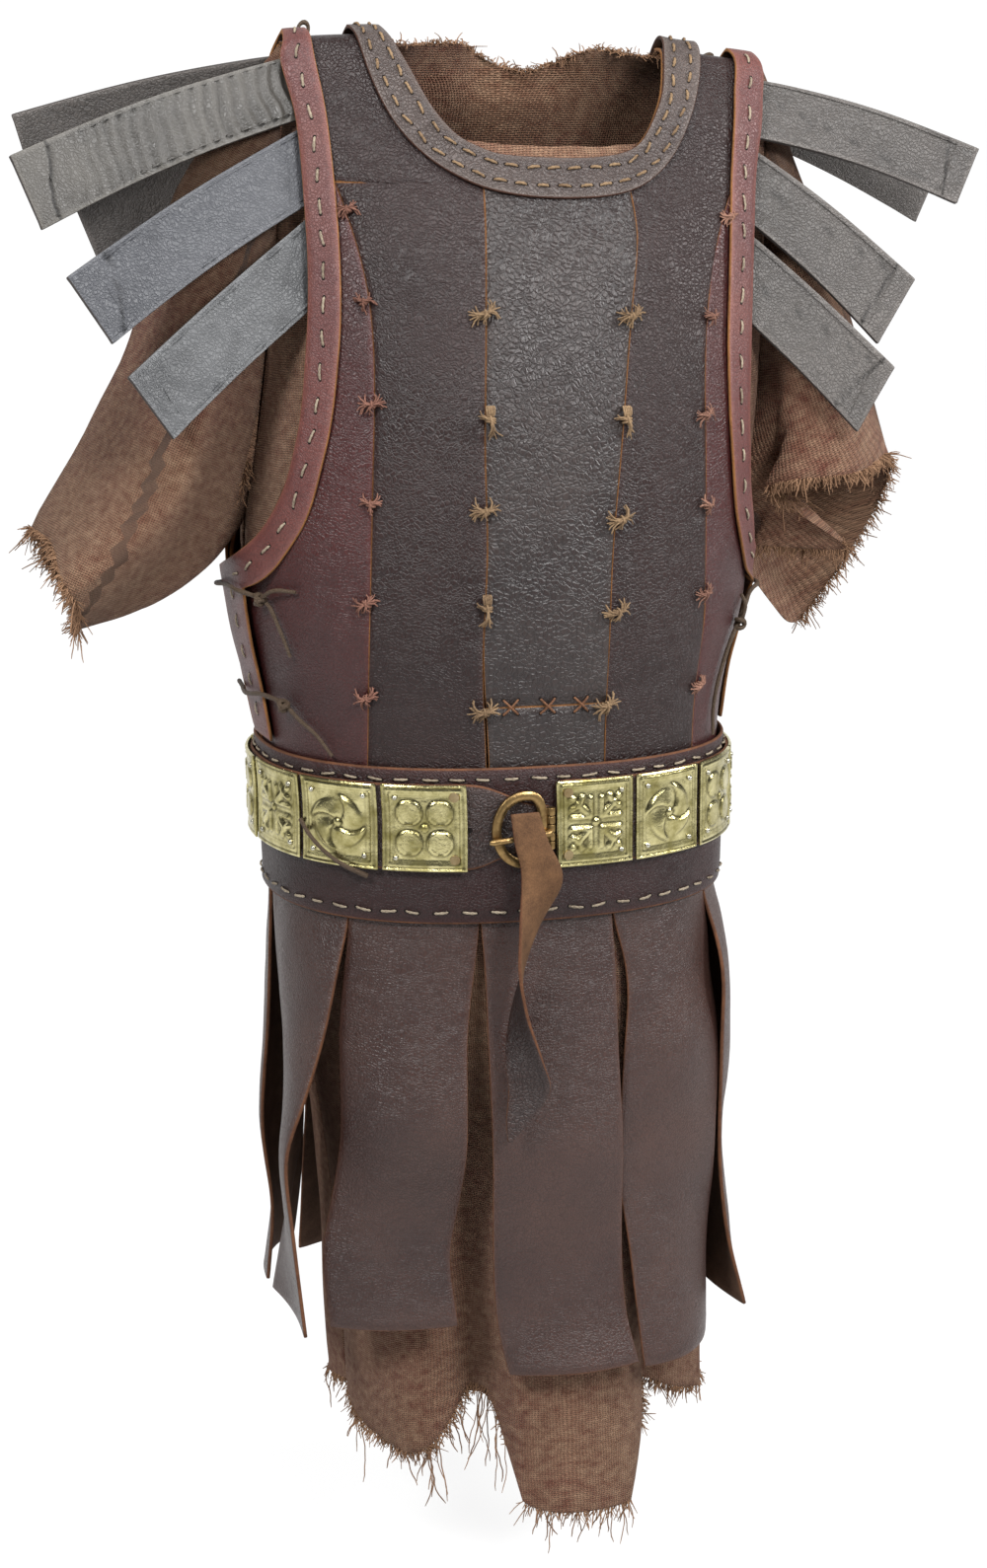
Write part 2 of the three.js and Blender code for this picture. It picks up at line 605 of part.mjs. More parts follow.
const armholeEdge = (rows, side) =>
  curve(
    rows.map((row) => root(row.outerDrop)).reverse(),
    rows.map((row) => row.outerTurn * side).reverse(),
  );
const leftEdge = armholeEdge(leftArmholeRows, -1);
const rightEdge = armholeEdge(rightArmholeRows, 1);
const leftSide = byDrop(leftSideSeam, "turn");
const rightSide = byDrop(rightSideSeam, "turn");
const leftMiddle = byDrop(leftMiddleSeam, "turn");
const rightMiddle = byDrop(rightMiddleSeam, "turn");
const gapTurn = seamGap / 2 / 290;
const openSlit = (drop) => gapTurn + 0.006 * smooth(380, 470, drop);
const frontNeck = curve([-0.16, -0.09, 0.01, 0.12, 0.17], [74, 76, 77, 74, 72]);
const backNeck = curve(
  [-0.9, -0.39, -0.35, -0.27, -0.14, 0, 0.12, 0.25, 0.32, 0.36, 0.9],
  [2.6, 2.6, 20, 32, 38, 40, 38, 32, 20, 2.6, 2.6],
);

function panel(name, lines, rows, left, right) {
  const layer = layers.panel;
  sheet(name, lines, rows, (u, row, outside) => {
    const first = typeof row === "function";
    let depth = first ? 0 : root(row);
    let turn = lerp(left(depth), right(depth), u);
    for (let pass = 0; first && pass < 6; pass += 1) {
      depth = root(row(turn));
      turn = lerp(left(depth), right(depth), u);
    }
    return wrapPoint(turn, depth, outside ? layer.outer : layer.inner);
  });
}

function panels() {
  const front = [...chestRows, ...bodyRows];
  const below = bodyRows.filter((drop) => drop < centrePanelEnd);
  const neckRow = (turn) => frontNeck(turn);
  const brownLeft = (depth) =>
    depth < root(95) ? leftEdge(depth) : leftSide(depth) + gapTurn;
  const brownRight = (depth) =>
    depth < root(95) ? rightEdge(depth) : rightSide(depth) - gapTurn;
  const neckEnd = root(75);
  const slitEdge = (depth) => {
    const below = Math.max(depth, neckEnd);
    return leftMiddle(below) + openSlit(below * below);
  };
  const plainEdge = (depth) => rightMiddle(Math.max(depth, neckEnd)) - gapTurn;
  panel("panel_centre", even(5), [neckRow, 95.5, ...below, centrePanelEnd], slitEdge, plainEdge);
  panel("panel_centre_lower", even(5), [lowerPieceTop, 468, 500, 533, 566], slitEdge, plainEdge);
  panel("panel_brown_left", even(4), front, brownLeft, (depth) => leftMiddle(depth) - gapTurn);
  panel("panel_brown_right", even(4), front, (depth) => rightMiddle(depth) + gapTurn, brownRight);
  const side = [sidePanelTop, ...bodyRows];
  side.splice(6, 0, 348, 366);
  const sideLines = even(7);
  panel("panel_side_left", sideLines, side, leftEdge, (depth) => leftSide(depth) - gapTurn);
  panel("panel_side_right", sideLines, side, (depth) => rightSide(depth) + gapTurn, rightEdge);
  const shoulder = (share) => (turn) => -Math.pow(lerp(root(backNeck(turn)), root(62), share), 2);
  const backRows = [0, 0.2, 0.4, 0.7].map(shoulder);
  const lower = [62, 100, 150, 215, 280, 335, 352, 400, 450, 566].map((drop) => -drop);
  panel("panel_back", even(12), [...backRows, ...lower], leftEdge, rightEdge);
}

// ---- What lies on the panels ----

const ray = new THREE.Raycaster();

// How far the pieces below stand above a place, along its normal.
function standing(place, normal, below) {
  const reach = 12;
  ray.set(place.clone().addScaledVector(normal, reach), normal.clone().negate());
  ray.far = 2 * reach;
  const hit = ray.intersectObjects(below, false)[0];
  return hit ? reach - hit.distance : -reach;
}

// A sheet that rests on the pieces below it: each point moves out until its cells clear them.
function restingSheet(name, us, vs, placeAt, names, nominal, height, joined = false) {
  const below = group.children.filter((mesh) => names.some((start) => mesh.name.startsWith(start)));
  const wide = joined ? us.length - 1 : us.length;
  const nodes = vs.map((v) =>
    us.slice(0, wide).map((u) => {
      const place = placeAt(u, v, nominal.inner - layerGap);
      const normal = placeAt(u, v, nominal.inner + 4).sub(place).normalize();
      return { place, normal, lift: 0 };
    }),
  );
  const shares = even(6);
  for (const pass of [1, 2, 3])
    for (let j = 0; j < vs.length - 1; j += 1)
      for (let i = 0; i < us.length - 1; i += 1) {
        const next = (i + 1) % wide;
        const corners = [nodes[j][i], nodes[j][next], nodes[j + 1][i], nodes[j + 1][next]];
        let need = 0;
        for (const p of shares)
          for (const q of shares) {
            const far = Math.min(p, q);
            const weights = [1 - Math.max(p, q), Math.max(p - q, 0), Math.max(q - p, 0), far];
            const place = new THREE.Vector3();
            const normal = new THREE.Vector3();
            corners.forEach((corner, k) => {
              place.addScaledVector(corner.place, weights[k]);
              place.addScaledVector(corner.normal, weights[k] * corner.lift);
              normal.addScaledVector(corner.normal, weights[k]);
            });
            need = Math.max(need, standing(place, normal.normalize(), below));
          }
        if (need > 0) for (const corner of corners) corner.lift += need * (pass < 3 ? 0.6 : 1.3);
      }
  const find = (u, v) => nodes[vs.indexOf(v)][us.indexOf(u) % wide];
  sheet(name, us, vs, (u, v, outside) => {
    const node = find(u, v);
    const rise = outside ? nominal.outer - nominal.inner + height(u, v) : 0;
    return node.place.clone().addScaledVector(node.normal, node.lift + layerGap + rise);
  }, joined);
}

const flat = () => 0;

// A point over the outline that clears whatever the named pieces hold there.
function clearPoint(turn, drop, out, names) {
  const below = group.children.filter((mesh) => names.some((start) => mesh.name.startsWith(start)));
  const place = bodyPoint(turn, drop, out);
  const normal = bodyPoint(turn, drop, out + 4).sub(place).normalize();
  return place.addScaledVector(normal, Math.max(0, standing(place, normal, below)));
}

// ---- The bindings ----

function binding(name, rows, side, closed, cells) {
  const list = closed ? [...rows, rows[0]] : rows;
  const keys = list.map((_, i) => i);
  const at = (field, change) => curve(keys, list.map((row) => change(row[field])));
  const outerTurn = at("outerTurn", (value) => value * side);
  const innerTurn = at("innerTurn", (value) => value * side);
  const outerDepth = at("outerDrop", root);
  const innerDepth = at("innerDrop", root);
  const placeAt = (key, across, out) => {
    const turn = lerp(outerTurn(key), innerTurn(key), across);
    const depth = lerp(outerDepth(key), innerDepth(key), across);
    return wrapPoint(turn, depth, out);
  };
  const lines = even(cells, 0, list.length - 1);
  restingSheet(name, lines, [0, 1], placeAt, ["panel_"], layers.binding, flat, closed);
}

// ---- Waistband and belt ----

// The belt line's length from the front middle, used to space the plates evenly.
const beltMiddle = (belt.top + belt.bottom) / 2;
const beltSteps = 400;
const beltLengths = [0];
for (let i = 1; i <= beltSteps; i += 1) {
  const from = bodyPoint(lerp(-2, 2, (i - 1) / beltSteps), beltMiddle, layers.plate.inner);
  const to = bodyPoint(lerp(-2, 2, i / beltSteps), beltMiddle, layers.plate.inner);
  beltLengths.push(beltLengths[i - 1] + from.distanceTo(to));
}
const beltRound = beltLengths[beltSteps];
const turnAtLength = curve(beltLengths, even(beltSteps, -2, 2));
const lengthAtTurn = curve(even(beltSteps, -2, 2), beltLengths);
const beltGap = beltRound - plateCount * belt.platePitch + (belt.platePitch - belt.plateWidth);
const firstPlateTurn = 0.012;

function beltTurn(length) {
  const wrapped = ((length % beltRound) + beltRound) % beltRound;
  return turnAtLength(wrapped);
}

function waistbandBand() {
  const placeAt = (turn, v, out) => bodyPoint(turn, lerp(waistband.top, waistband.bottom, v), out);
  const around = even(waistband.aroundCells, -2, 2);
  const down = even(waistband.downCells);
  restingSheet("waistband", around, down, placeAt, ["panel_"], layers.waistband, flat, true);
}

// The strap's top and bottom edges, by length on from its end under the hinge.
function beltStrap() {
  const start = lengthAtTurn(firstPlateTurn) + 2;
  const full = beltRound - beltGap;
  const end = beltRound - beltGap + 56;
  const top = curve([0, full, full + 22, full + 40, end], [490.5, 490.5, 496, 505, 507]);
  const bottom = curve([0, full, full + 20, full + 38, end], [549.5, 549.5, 543, 537, 536]);
  const cells = 38;
  const lengths = [...even(cells, 0, full), full + 14, full + 28, full + 42, end];
  const placeAt = (length, v, out) => {
    const drop = lerp(top(length), bottom(length), v);
    return bodyPoint(beltTurn(start + length), drop, out);
  };
  restingSheet("belt_strap", lengths, [0, 1], placeAt, ["waistband"], layers.strap, flat);
}

const plateLines = [0, 0.045, 0.1, 0.3, 0.5, 0.7, 0.9, 0.955, 1];
const relief = { border: 1.3, petal: 2.2, arm: 1.8, boss: 1.6 };

// Heights of the hammered designs over a plate of unit size with its middle at 0, 0.
const designs = {
  quatrefoil: (x, y) => {
    const diagonal = Math.min(Math.abs(x - y), Math.abs(x + y));
    const far = Math.hypot(x, y);
    return relief.petal * smooth(0.02, 0.12, diagonal) * bump(far, 0.24, 0.22);
  },
  whirl: (x, y) => {
    const far = Math.hypot(x, y);
    const angle = Math.atan2(y, x) + far * 4;
    return relief.arm * Math.max(0, Math.cos(1.5 * angle)) * bump(far, 0.22, 0.24);
  },
  cross: (x, y) => {
    const arm = Math.max(bump(x, 0, 0.16), bump(y, 0, 0.16));
    return relief.arm * arm * bump(Math.hypot(x, y), 0.1, 0.36);
  },
};
const designOrder = ["cross", "whirl", "quatrefoil"];

function plateSolid(index) {
  const start = lengthAtTurn(firstPlateTurn) + index * belt.platePitch;
  const design = designs[designOrder[index % designOrder.length]];
  const count = plateLines.length;
  const positions = [];
  const triangles = [];
  const turnAt = (u) => beltTurn(start + u * belt.plateWidth);
  const dropAt = (v) => lerp(belt.top, belt.top + belt.plateHeight, v);
  const under = ["belt_strap", "waistband"];
  let lift = 0;
  for (const u of even(16))
    for (const v of even(8)) {
      const low = bodyPoint(turnAt(u), dropAt(v), layers.plate.inner - 0.5);
      const clear = clearPoint(turnAt(u), dropAt(v), layers.plate.inner - 0.5, under);
      lift = Math.max(lift, low.distanceTo(clear) - 0.15);
    }
  const place = (u, v, outside) => {
    const edge = Math.min(u, 1 - u, v, 1 - v);
    const border = relief.border * bump(edge, 0.045, 0.05);
    const boss = relief.boss * bump(Math.hypot(u - 0.5, v - 0.5), 0, 0.1);
    const height = Math.max(border, design(u - 0.5, v - 0.5), boss);
    const out = outside ? layers.plate.outer + height : layers.plate.inner;
    return bodyPoint(turnAt(u), dropAt(v), out + lift);
  };
  for (const v of plateLines)
    for (const u of plateLines) positions.push(...place(u, v, true).toArray());
  const outer = (i, j) => j * count + i;
  const quad = (p, q, r, s) => triangles.push(p, q, r, p, r, s);
  for (let j = 0; j < count - 1; j += 1)
    for (let i = 0; i < count - 1; i += 1)
      quad(outer(i, j), outer(i + 1, j), outer(i + 1, j + 1), outer(i, j + 1));
  const edges = new Map();
  const inner = (i, j) => {
    const key = outer(i, j);
    if (!edges.has(key)) {
      edges.set(key, positions.length / 3);
      positions.push(...place(plateLines[i], plateLines[j], false).toArray());
    }
    return edges.get(key);
  };
  const last = count - 1;
  for (let i = 0; i < last; i += 1) {
    quad(inner(i, 0), inner(i + 1, 0), outer(i + 1, 0), outer(i, 0));
    quad(outer(i, last), outer(i + 1, last), inner(i + 1, last), inner(i, last));
    quad(outer(0, i), outer(0, i + 1), inner(0, i + 1), inner(0, i));
    quad(inner(last, i), inner(last, i + 1), outer(last, i + 1), outer(last, i));
  }
  for (let i = 1; i < last - 1; i += 1)
    quad(inner(i, 0), inner(i, last), inner(i + 1, last), inner(i + 1, 0));
  for (let j = 0; j < last; j += 1) {
    triangles.push(inner(0, j), inner(0, j + 1), inner(1, j < last / 2 ? 0 : last));
    triangles.push(inner(last, j + 1), inner(last, j), inner(last - 1, j < last / 2 ? 0 : last));
  }
  triangles.push(inner(0, last / 2), inner(1, last), inner(1, 0));
  triangles.push(inner(last, last / 2), inner(last - 1, 0), inner(last - 1, last));
  addSolid("belt_plate_" + String(index + 1).padStart(2, "0"), positions, triangles);
}

// ---- Buckle ----

function frameAt(turn, drop, out) {
  const place = bodyPoint(turn, drop, out);
  const normal = bodyPoint(turn, drop, out + 1).sub(place).normalize();
  const up = new THREE.Vector3(0, 0, 1);
  const across = up.clone().cross(normal).multiplyScalar(-1).normalize();
  const rise = normal.clone().cross(across).multiplyScalar(-1).normalize();
  if (rise.z < 0) rise.negate();
  if (across.x < 0) across.negate();
  return { place, normal, across, rise };
}

function buckleParts() {
  const ringOut = layers.strap.outer + 1.6 + buckle.wire;
  const frame = frameAt(buckle.turn, buckle.drop, ringOut);
  const torus = new THREE.TorusGeometry(1, 0.15, 6, 22);
  const spots = torus.getAttribute("position");
  const positions = [];
  for (let i = 0; i < spots.count; i += 1) {
    const angle = Math.atan2(spots.getY(i), spots.getX(i));
    const radial = (Math.hypot(spots.getX(i), spots.getY(i)) - 1) / 0.15;
    const width = buckle.wire * 1.25 * radial;
    const x = Math.cos(angle) * (buckle.halfWide + width);
    const y = Math.sin(angle) * (buckle.halfTall + width);
    const z = (spots.getZ(i) / 0.15) * buckle.wire;
    const point = frame.place
      .clone()
      .addScaledVector(frame.across, x)
      .addScaledVector(frame.rise, y)
      .addScaledVector(frame.normal, z);
    positions.push(...point.toArray());
  }
  const ring = solidFrom(positions, [...torus.getIndex().array]);

  const hinge = { radius: 3.1, half: 15, side: 18.6 };
  const bar = new THREE.CylinderGeometry(hinge.radius, hinge.radius, hinge.half * 2, 10);
  const axes = new THREE.Matrix4().makeBasis(frame.across, frame.rise, frame.across.clone().cross(frame.rise));
  const middle = frame.place.clone().addScaledVector(frame.across, hinge.side).addScaledVector(frame.normal, -0.2);
  bar.applyMatrix4(axes);
  bar.translate(middle.x, middle.y, middle.z);
  const welded = mergeVertices(bar.deleteAttribute("normal").deleteAttribute("uv"), 1e-4);
  const joined = ring.add(solidFrom([...welded.getAttribute("position").array], [...welded.getIndex().array]));
  const made = joined.getMesh();
  addSolid("buckle_ring", [...made.vertProperties], [...made.triVerts]);

  const tongue = { length: 47, wide: 5, deep: 3 };
  const pin = new THREE.BoxGeometry(tongue.length, tongue.wide, tongue.deep, 4, 1, 1);
  const corners = pin.getAttribute("position");
  for (let i = 0; i < corners.count; i += 1) {
    const share = corners.getX(i) / tongue.length + 0.5;
    corners.setY(i, corners.getY(i) * lerp(0.55, 1, share));
    corners.setZ(i, corners.getZ(i) - 1.4 * Math.pow(1 - share, 3));
  }
  const flat = new THREE.Matrix4().makeBasis(frame.across, frame.rise, frame.normal);
  pin.applyMatrix4(flat);
  const lift = frame.place
    .clone()
    .addScaledVector(frame.normal, buckle.wire + tongue.deep / 2 + 1.6)
    .addScaledVector(frame.across, 0.4)
    .addScaledVector(frame.rise, -4);
  pin.translate(lift.x, lift.y, lift.z);
  const pinMesh = new THREE.Mesh(pin);
  pinMesh.name = "buckle_tongue";
  group.add(pinMesh);
}

// ---- Strips ----

// A strip of leather along a line of stations, each with its own width and twist.
function strip(name, stations, cells, thick, shape = () => 0) {
  const keys = stations.map((_, i) => i);
  const at = (field) => curve(keys, stations.map((station) => station[field]));
  const x = at("x");
  const y = at("y");
  const z = at("z");
  const width = at("width");
  const twist = at("twist");
  const spine = (key) => new THREE.Vector3(x(key), y(key), z(key));
  const across = (key) => {
    const angle = THREE.MathUtils.degToRad(twist(key));
    return new THREE.Vector3(Math.cos(angle), Math.sin(angle), 0);
  };
  const last = keys.length - 1;
  sheet(name, cells.across, even(cells.down, 0, last), (u, key, outside) => {
    const near = 0.02;
    const down = spine(Math.min(key + near, last)).sub(spine(Math.max(key - near, 0)));
    const side = across(key);
    const normal = side.clone().cross(down).normalize();
    const bend = shape(u, key / last, outside);
    return spine(key)
      .addScaledVector(side, (u - 0.5) * width(key))
      .addScaledVector(normal, (outside ? 1 : -1) * (thick / 2) + bend);
  });
}

const skirt = { top: 566.6, hang: 592, inner: 5.2, thick: 2.6, cellsDown: 11 };

// Each front strip's edges at its foot and half way, as shifts from a straight fall.
const frontStrips = [
  {
    name: "skirt_strip_1", from: -1.0, to: -0.565, foot: 900,
    rows: [
      { fall: 0, side: 0, push: 0, twist: 0, cup: 0 },
      { fall: 0.1, side: -1, push: 5, twist: 6, cup: 1 },
      { fall: 0.24, side: -2, push: 8, twist: 14, cup: 3 },
      { fall: 0.42, side: -3, push: 12, twist: 30, cup: 6 },
      { fall: 0.56, side: -4, push: 16, twist: 42, cup: 7 },
      { fall: 0.76, side: -5, push: 19, twist: 33, cup: 2 },
      { fall: 1, side: -6, push: 22, twist: 20, cup: -8 },
    ],
  },
  {
    name: "skirt_strip_2", from: -0.558, to: -0.158, foot: 892,
    rows: [
      { fall: 0, side: 0, push: 0, twist: 0, cup: 0 },
      { fall: 0.1, side: 0, push: 1, twist: 0, cup: 1 },
      { fall: 0.25, side: -5, push: 3, twist: 2, cup: 4 },
      { fall: 0.5, side: -4, push: 9, twist: 4, cup: 9 },
      { fall: 0.68, side: -11, push: 3, twist: -4, cup: 6 },
      { fall: 0.82, side: -18, push: 7, twist: -6, cup: 4 },
      { fall: 1, side: -12, push: 12, twist: -8, cup: 5 },
    ],
  },
  {
    name: "skirt_strip_3", from: -0.15, to: 0.168, foot: 930,
    rows: [
      { fall: 0, side: 0, push: 0, twist: 0, cup: 0 },
      { fall: 0.3, side: 3, push: 5, twist: 0, cup: 3 },
      { fall: 0.5, side: 5, push: 9, twist: 2, cup: 5 },
      { fall: 0.72, side: 6, push: 6, twist: 2, cup: 2 },
      { fall: 0.86, side: 8, push: 6, twist: 3, cup: 4 },
      { fall: 1, side: 16, push: 16, twist: 5, cup: 8 },
    ],
  },
  {
    name: "skirt_strip_4", from: 0.176, to: 0.589, foot: 936,
    rows: [
      { fall: 0, side: 0, push: 0, twist: 0, cup: 0 },
      { fall: 0.17, side: 8, push: 2, twist: -4, cup: 5 },
      { fall: 0.34, side: 5, push: 8, twist: 5, cup: 8 },
      { fall: 0.55, side: 1, push: 9, twist: 6, cup: 3 },
      { fall: 0.76, side: 6, push: 8, twist: -6, cup: 8 },
      { fall: 1, side: 8, push: 14, twist: -14, cup: 14 },
    ],
  },
  {
    name: "skirt_strip_5", from: 0.6, to: 1.02, foot: 925,
    rows: [
      { fall: 0, side: 0, push: 0, twist: 0, cup: 0 },
      { fall: 0.08, side: 2, push: 5.5, twist: -4, cup: 1 },
      { fall: 0.2, side: -8, push: 9, twist: -9, cup: 4 },
      { fall: 0.4, side: -6, push: 10, twist: -7, cup: 7 },
      { fall: 0.58, side: -3, push: 9, twist: -8, cup: 2 },
      { fall: 0.78, side: 2, push: 12, twist: -12, cup: 5 },
      { fall: 1, side: 8, push: 20, twist: -24, cup: -8 },
    ],
  },
];
const plainFall = [
  { fall: 0, side: 0, push: 0, twist: 0, cup: 0 },
  { fall: 0.3, side: 0, push: 4, twist: 1, cup: 4 },
  { fall: 0.6, side: -1, push: 7, twist: -3, cup: 7 },
  { fall: 0.8, side: 1, push: 6, twist: 3, cup: 3 },
  { fall: 1, side: 1, push: 12, twist: 5, cup: 6 },
];
const backStrips = [1.035, 1.52, 2.005, 2.49].map((from, i) => ({
  name: "skirt_strip_" + (i + 6),
  from,
  to: from + 0.46,
  foot: [915, 905, 920, 902][i],
  rows: plainFall.map((row) => ({ ...row, side: row.side * (i % 2 ? -1 : 1), twist: row.twist * (i % 2 ? -1 : 1) })),
}));

// From under the waistband a skirt strip falls straight, then moves by its own rows.
function skirtStrip(piece) {
  const field = (name) => column(piece.rows, "fall", name);
  const side = field("side");
  const push = field("push");
  const twist = field("twist");
  const cup = field("cup");
  const middleTurn = (piece.from + piece.to) / 2;
  const at = (turn, drop) => bodyPoint(turn, drop, skirt.inner + skirt.thick / 2);
  const half = at(piece.from, skirt.hang).distanceTo(at(piece.to, skirt.hang)) / 2;
  const middle = at(middleTurn, skirt.hang);
  const chord = at(piece.to, skirt.hang).sub(at(piece.from, skirt.hang));
  chord.z = 0;
  chord.normalize();
  const outward = new THREE.Vector3(chord.y, -chord.x, 0);
  const endBow = at(piece.from, skirt.hang).sub(middle).dot(outward);
  const upper = (u, drop, out) => {
    const turn = lerp(piece.from, piece.to, u);
    return bodyPoint(turn, drop, skirt.inner + (out > 0 ? skirt.thick : 0));
  };
  const fallen = (u, fall) => {
    const angle = THREE.MathUtils.degToRad(twist(fall));
    const reach = (u - 0.5) * 2 * half;
    const straight = at(lerp(piece.from, piece.to, u), skirt.hang);
    const topZ = straight.z;
    const flatten = 0.6 * smooth(0, 0.6, fall);
    const bow = lerp(straight.sub(middle).dot(outward), endBow * 0.85, flatten);
    const curl = bow + cup(fall) * (1 - Math.pow(2 * u - 1, 2)) + push(fall);
    const place = middle
      .clone()
      .addScaledVector(chord, reach * Math.cos(angle) + side(fall))
      .addScaledVector(outward, reach * Math.sin(angle) + curl);
    place.z = lerp(topZ, shoulderRidge - piece.foot, fall);
    return place;
  };
  const rows = [-1, ...even(skirt.cellsDown)];
  sheet(piece.name, even(4), rows, (u, fall, outside) => {
    if (fall < 0) return upper(u, skirt.top, outside);
    if (fall === 0) return upper(u, skirt.hang, outside);
    const near = 0.01;
    const place = fallen(u, fall);
    const along = fallen(Math.min(u + near, 1), fall).sub(fallen(Math.max(u - near, 0), fall));
    const down = fallen(u, Math.min(fall + near, 1)).sub(fallen(u, Math.max(fall - near, 0.001)));
    const normal = along.cross(down).normalize();
    if (normal.dot(outward) < 0) normal.negate();
    return place.addScaledVector(normal, (outside ? 1 : -1) * (skirt.thick / 2));
  });
}

// ---- Shoulder strips ----

const shoulderStripSize = { thick: 2.6, rootThick: 1.7, capRise: 1.2, border: 0.9 };
// Root: the turn and drop of its upper and lower corner. Tip: the same two corners in space.
const shoulderStrips = [
  { name: "shoulder_strip_l1", side: -1, rootTop: 10, rootLow: 52, tipTop: [-364, -34, -72], tipLow: [-346, -42, -119], hammer: 1.5, sag: 5 },
  { name: "shoulder_strip_l2", side: -1, rootTop: 58, rootLow: 108, tipTop: [-335, -68, -148], tipLow: [-308, -76, -191], hammer: 0.9, sag: 4 },
  { name: "shoulder_strip_l3", side: -1, rootTop: 116, rootLow: 174, tipTop: [-300, -84, -212], tipLow: [-272, -88, -253], hammer: 0.8, sag: 2 },
  { name: "shoulder_strip_l4", side: -1, rootTop: -8, rootLow: -46, tipTop: [-352, 34, -47], tipLow: [-338, 42, -93], hammer: 0, sag: 4 },
  { name: "shoulder_strip_l5", side: -1, rootTop: -54, rootLow: -100, tipTop: [-308, 68, -105], tipLow: [-290, 76, -148], hammer: 0, sag: 4 },
  { name: "shoulder_strip_r1", side: 1, rootTop: 10, rootLow: 52, tipTop: [331, -34, -73], tipLow: [311, -42, -111], hammer: 0, sag: 5 },
  { name: "shoulder_strip_r2", side: 1, rootTop: 60, rootLow: 110, tipTop: [268, -68, -162], tipLow: [238, -74, -206], hammer: 0, sag: 4 },
  { name: "shoulder_strip_r3", side: 1, rootTop: 118, rootLow: 176, tipTop: [247, -84, -222], tipLow: [218, -88, -266], hammer: 0, sag: 2 },
  { name: "shoulder_strip_r4", side: 1, rootTop: -8, rootLow: -46, tipTop: [336, 40, -90], tipLow: [322, 46, -128], hammer: 0.8, sag: 4 },
  { name: "shoulder_strip_r5", side: 1, rootTop: -54, rootLow: -100, tipTop: [290, 70, -142], tipLow: [268, 78, -186], hammer: 0.8, sag: 4 },
];
const stripLines = [0, 0.1, 0.13, 0.87, 0.9, 1];
const stripRows = [0, 0.07, 0.16, 0.32, 0.5, 0.7, 0.9, 0.91, 1];

function shoulderStrip(piece) {
  const edge = piece.side < 0 ? leftEdge : rightEdge;
  const tuck = 0.05;
  const rootPoint = (u, inward, out) => {
    const depth = lerp(root(piece.rootTop), root(piece.rootLow), u);
    const turn = edge(depth) - piece.side * inward;
    return wrapPoint(turn, depth, out);
  };
  const tipTop = new THREE.Vector3(...piece.tipTop);
  const tipLow = new THREE.Vector3(...piece.tipLow);
  const middle = 3.6;
  const place = (u, v) => {
    const start = rootPoint(u, tuck, middle);
    const leave = rootPoint(u, -0.002, middle);
    const tip = tipTop.clone().lerp(tipLow, u);
    if (v <= 0.07) return start.lerp(leave, v / 0.07);
    const t = (v - 0.07) / 0.93;
    const point = leave.lerp(tip, t);
    point.z += piece.sag * Math.sin(Math.PI * t);
    return point;
  };
  const ahead = piece.rootTop > 0 ? -1 : 1;
  sheet(piece.name, stripLines, stripRows, (u, v, outside) => {
    const near = 0.01;
    const along = place(u, Math.min(v + near, 1)).sub(place(u, Math.max(v - near, 0)));
    const across = place(Math.min(u + near, 1), v).sub(place(Math.max(u - near, 0), v));
    const normal = along.cross(across).normalize();
    if (normal.y * ahead < 0) normal.negate();
    const size = shoulderStripSize;
    const inBorder = u < 0.115 || u > 0.885;
    let rise = 0;
    if (outside && v > 0.1) {
      const rough = Math.sin(v * 43 + u * 5) * Math.cos(u * 9 + v * 12);
      rise = piece.hammer > 0 ? piece.hammer * (0.5 + 0.5 * rough) : inBorder ? size.border : 0;
      if (v > 0.905) rise = size.capRise;
    }
    const half = v < 0.1 ? size.rootThick / 2 : size.thick / 2;
    return place(u, v).addScaledVector(normal, outside ? half + rise : -half);
  });
}

// ---- Small leather ----

const tailStations = [
  { x: -47, y: -145.4, z: -511, width: 20, twist: 3 },
  { x: -43, y: -149.2, z: -532, width: 24, twist: 1 },
  { x: -36, y: -151.5, z: -556, width: 28, twist: -8 },
  { x: -45, y: -154, z: -588, width: 28, twist: 42 },
  { x: -52, y: -156, z: -620, width: 27, twist: 66 },
  { x: -53, y: -155, z: -652, width: 27, twist: 96 },
  { x: -49, y: -153, z: -688, width: 28, twist: 142 },
  { x: -45, y: -152, z: -710, width: 29, twist: 166 },
  { x: -53, y: -151, z: -732, width: 17, twist: 174 },
  { x: -59, y: -151, z: -747, width: 3, twist: 176 },
];
const tailCells = 16;

function cord(name, points, radius, steps) {
  const path = new THREE.CatmullRomCurve3(points.map((point) => new THREE.Vector3(...point)), false, "centripetal");
  const circle = new THREE.Shape();
  circle.absarc(0, 0, radius, 0, 2 * Math.PI, false);
  const tube = new THREE.ExtrudeGeometry(circle, { steps, curveSegments: 4, bevelEnabled: false, extrudePath: path });
  const mesh = new THREE.Mesh(tube);
  mesh.name = name;
  group.add(mesh);
}

